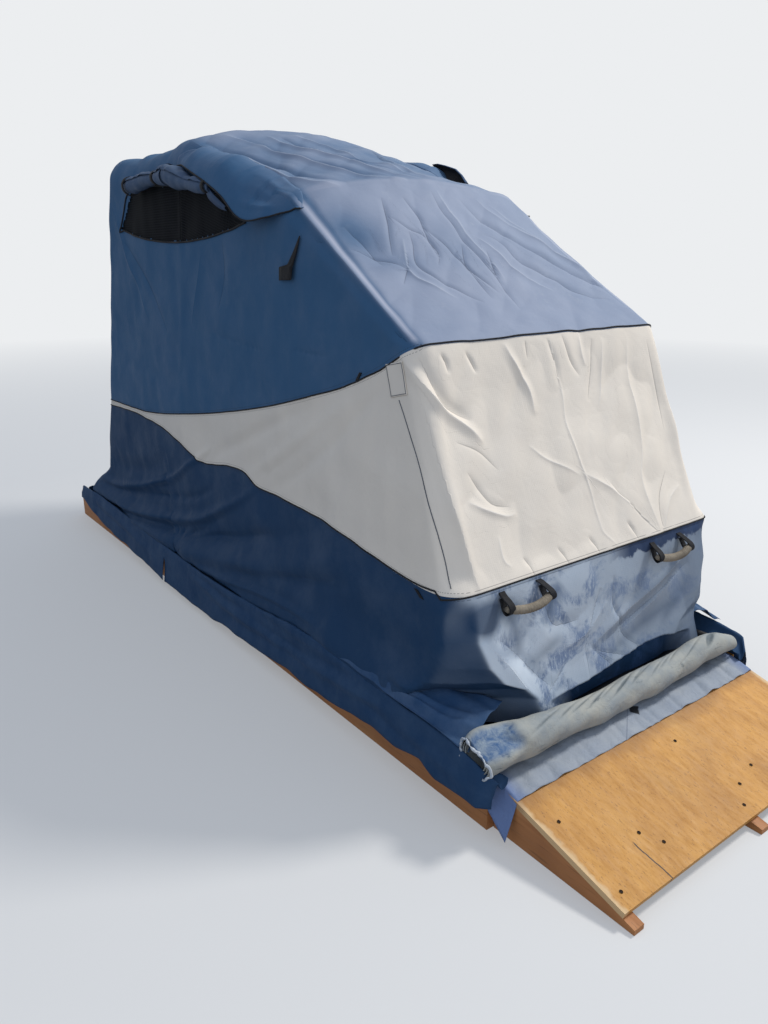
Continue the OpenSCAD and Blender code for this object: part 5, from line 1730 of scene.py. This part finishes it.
def front_at_height(x, z):
    """The place on the lower panel's outside at this height, and which way it faces."""
    _, k, _ = tree_of_skin.find((x, -1.70, z))
    return skin.reshape(-1, 3)[k], flat_normals[k]


for word, middle in (("left", -0.385), ("right", 0.33)):
    low, way = front_at_height(middle, 0.575)
    high, _ = front_at_height(middle, 0.655)
    down = (low - high) / np.linalg.norm(low - high)
    root = high + down * 0.045
    t = np.linspace(-1, 1, 61)
    bow = 1 - t**2
    spine = root + np.stack([0.098 * t, 0 * t, 0 * t], 1)
    spine = spine + np.outer(0.030 + 0.016 * bow, way) + np.outer(0.016 * bow, down)
    thick = 0.006 + 0.0075 * np.sqrt(unit(1 - np.abs(t) ** 5)) + 0.0006 * np.sin(t * 60)
    name = f"grip_{word}"
    grip = new_piece(name, tube_mesh(name, spine, thick, 20), grip_tape)
    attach(grip, "lower_frame")
    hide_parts(f"grab_handle_{word}")
    for side, end in SIDES:
        at = np.array([side * 0.086, 0, 0])
        # From the seam out and over the grip, round it, and back in to the seam
        loop = smooth_line([high + at * 0.9 + way * 0.002,
                            high + at * 0.95 + way * 0.014 + down * 0.010,
                            root + at + way * 0.044 - down * 0.010,
                            root + at * 1.02 + way * 0.047 + down * 0.010,
                            root + at + way * 0.031 + down * 0.021,
                            root + at + way * 0.017 + down * 0.008,
                            high + at * 0.95 + way * 0.006 + down * 0.018], 0.004)
        across = np.linspace(-0.012, 0.012, 7)[:, None, None] * np.array([1, 0, 0])
        dress(f"handle_strap_{word}_{end}", loop[None] + across, (middle, -1.60, 0.60), webbing,
              "lower_frame", 0.0022, f"grab_handle_{word}")
print("handles made")

# %% [markdown]
# ## Small sewn parts
#
# A webbing tag hangs from a side seam, clips hold the cover's edge, and a patch is sewn on at the top
# corner of the white band. The stitches beside the seams are drawn by the cover's finish.

# %% Tag, clips and patch
TAG_EDGES = np.array([[(0.566, -0.778, 1.640), (0.572, -0.745, 1.589), (0.576, -0.712, 1.549),
                       (0.578, -0.658, 1.540), (0.576, -0.651, 1.495)],
                      [(0.566, -0.783, 1.640), (0.572, -0.768, 1.590), (0.576, -0.750, 1.550),
                       (0.578, -0.747, 1.542), (0.577, -0.734, 1.499)]])
CORNER_SEAM = np.array([(0.582, -1.336, 1.176), (0.592, -1.395, 1.097), (0.602, -1.465, 0.995),
                        (0.611, -1.532, 0.876), (0.615, -1.597, 0.763), (0.622, -1.632, 0.69)])
PATCH_CORNERS = np.array([(-1.262, 1.273), (-1.345, 1.290), (-1.297, 1.178), (-1.378, 1.198)])


def clip_on(name, path, width, bay):
    """A short flat strip of webbing that lies along a path on the skin."""
    line = on_skin(smooth_line(path, 0.006), 0.004)
    across = np.linspace(-width / 2, width / 2, 5)[:, None, None] * np.array([0, 1, 0])
    dress(name, line[None] + across, (0, line[0][1], line[0][2]), webbing, bay, 0.003)


def thread_on(name, path, radius):
    fold_with(new_piece(name, tube_mesh(name, path, radius, 6), thread), 3)


thread = plain_cloth("grey_thread", linear(104, 108, 114), linear(74, 78, 84), 0.6, 300.0, 0.6)
for side, word in SIDES:
    across = np.linspace(0, 1, 5)[:, None, None]
    strap, other = (evenly(edge, 30)[None] for edge in TAG_EDGES)
    rows = (strap * (1 - across) + other * across) * [side, 1, 1]
    rows += [0, 0.03 * (side > 0), -0.03 * (side > 0)]
    dress(f"hanging_tag_{word}", rows, (0, -0.7, 1.6), webbing, 2, WEBBING)
    clip_on(f"upper_clip_{word}", [(side * 0.574, -1.137, 1.233), (side * 0.577, -1.115, 1.205)], 0.012, 3)
    clip_on(f"lower_clip_{word}", [(side * 0.638, -1.50, 0.645), (side * 0.639, -1.535, 0.628)], 0.016, 4)
    # A patch of the white cloth over the band's top front corner, sewn on all round
    u, v = np.meshgrid(np.linspace(0, 1, 22), np.linspace(0, 1, 26))
    first, second, third, fourth = PATCH_CORNERS
    flat = ((1 - u) * (1 - v))[..., None] * first + (u * (1 - v))[..., None] * second
    flat = flat + ((1 - u) * v)[..., None] * third + (u * v)[..., None] * fourth
    spots = np.concatenate([np.full((*u.shape, 1), side * 0.58), flat], 2)
    spots = on_skin(spots.reshape(-1, 3), 0.0028).reshape(spots.shape)
    dress(f"corner_patch_{word}", spots, (0, -1.1, 1.2), cover_material, 3,
          held="stretched", numbers=off_seams(u.shape, 0, -1))
    rim = np.concatenate([spots[1, 1:-1], spots[1:-1, -2], spots[-2, -2:0:-1], spots[-2:0:-1, 1]])
    thread_on(f"patch_stitches_{word}", rim + [side * 0.0008, 0, 0], 0.0009)
    seam = CORNER_SEAM * [side, 1, 1] + [0, 0.07 * (side > 0), 0]
    thread_on(f"corner_seam_{word}", on_skin(smooth_line(seam, 0.01), 0.0006), 0.0016)
print("tags, clips and patches made")

# %% [markdown]
# ## Screws in the ramp
#
# The ramp's sheet is held by countersunk screws whose heads have gone dark. Each screw is a disc,
# inset and pushed in for its recess. The split near the ramp's foot is part of the ramp's finish.

# %% Ramp details
# Where the screws are in the plan, and the sizes of a head
SCREWS = [(-0.551, -2.018), (0.026, -1.992), (0.06, -2.198), (-0.003, -2.25), (-0.336, -2.207),
          (-0.568, -2.243), (0.166, -2.173), (-0.375, -2.153), (0.555, -2.02), (0.56, -2.24), (0.33, -2.21)]
HEAD, RIM, RECESS, RAISED = 0.0054, 0.0015, 0.0012, 0.0017
rusty, tree, shader = shader_for("dark_screw_steel", 0.7)
rust = mixed(tree, noise(tree, object_place(tree), 600.0, 3.0), linear(24, 19, 16), linear(52, 38, 28))
feed(tree, shader, {"Base Color": rust, "Specular IOR Level": 0.1})
bm = bmesh.new()
for x, y in SCREWS:
    made = bmesh.ops.create_circle(bm, cap_ends=True, segments=16, radius=HEAD)
    face = made["verts"][0].link_faces[0]
    bmesh.ops.inset_individual(bm, faces=[face], thickness=RIM)
    bmesh.ops.translate(bm, verts=face.verts, vec=(0, 0, -RECESS))
    whole = made["verts"] + [v for v in face.verts]
    bmesh.ops.rotate(bm, verts=whole, cent=(0, 0, 0), matrix=Matrix.Rotation(radians(RAMP_TILT), 3, "X"))
    bmesh.ops.translate(bm, verts=list(set(whole)), vec=(x, y, ramp_top(y) + RAISED))
mesh = bpy.data.meshes.new("ramp_screws")
bm.to_mesh(mesh)
bm.free()
screws = new_piece("ramp_screws", mesh, rusty)
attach(screws, "root")
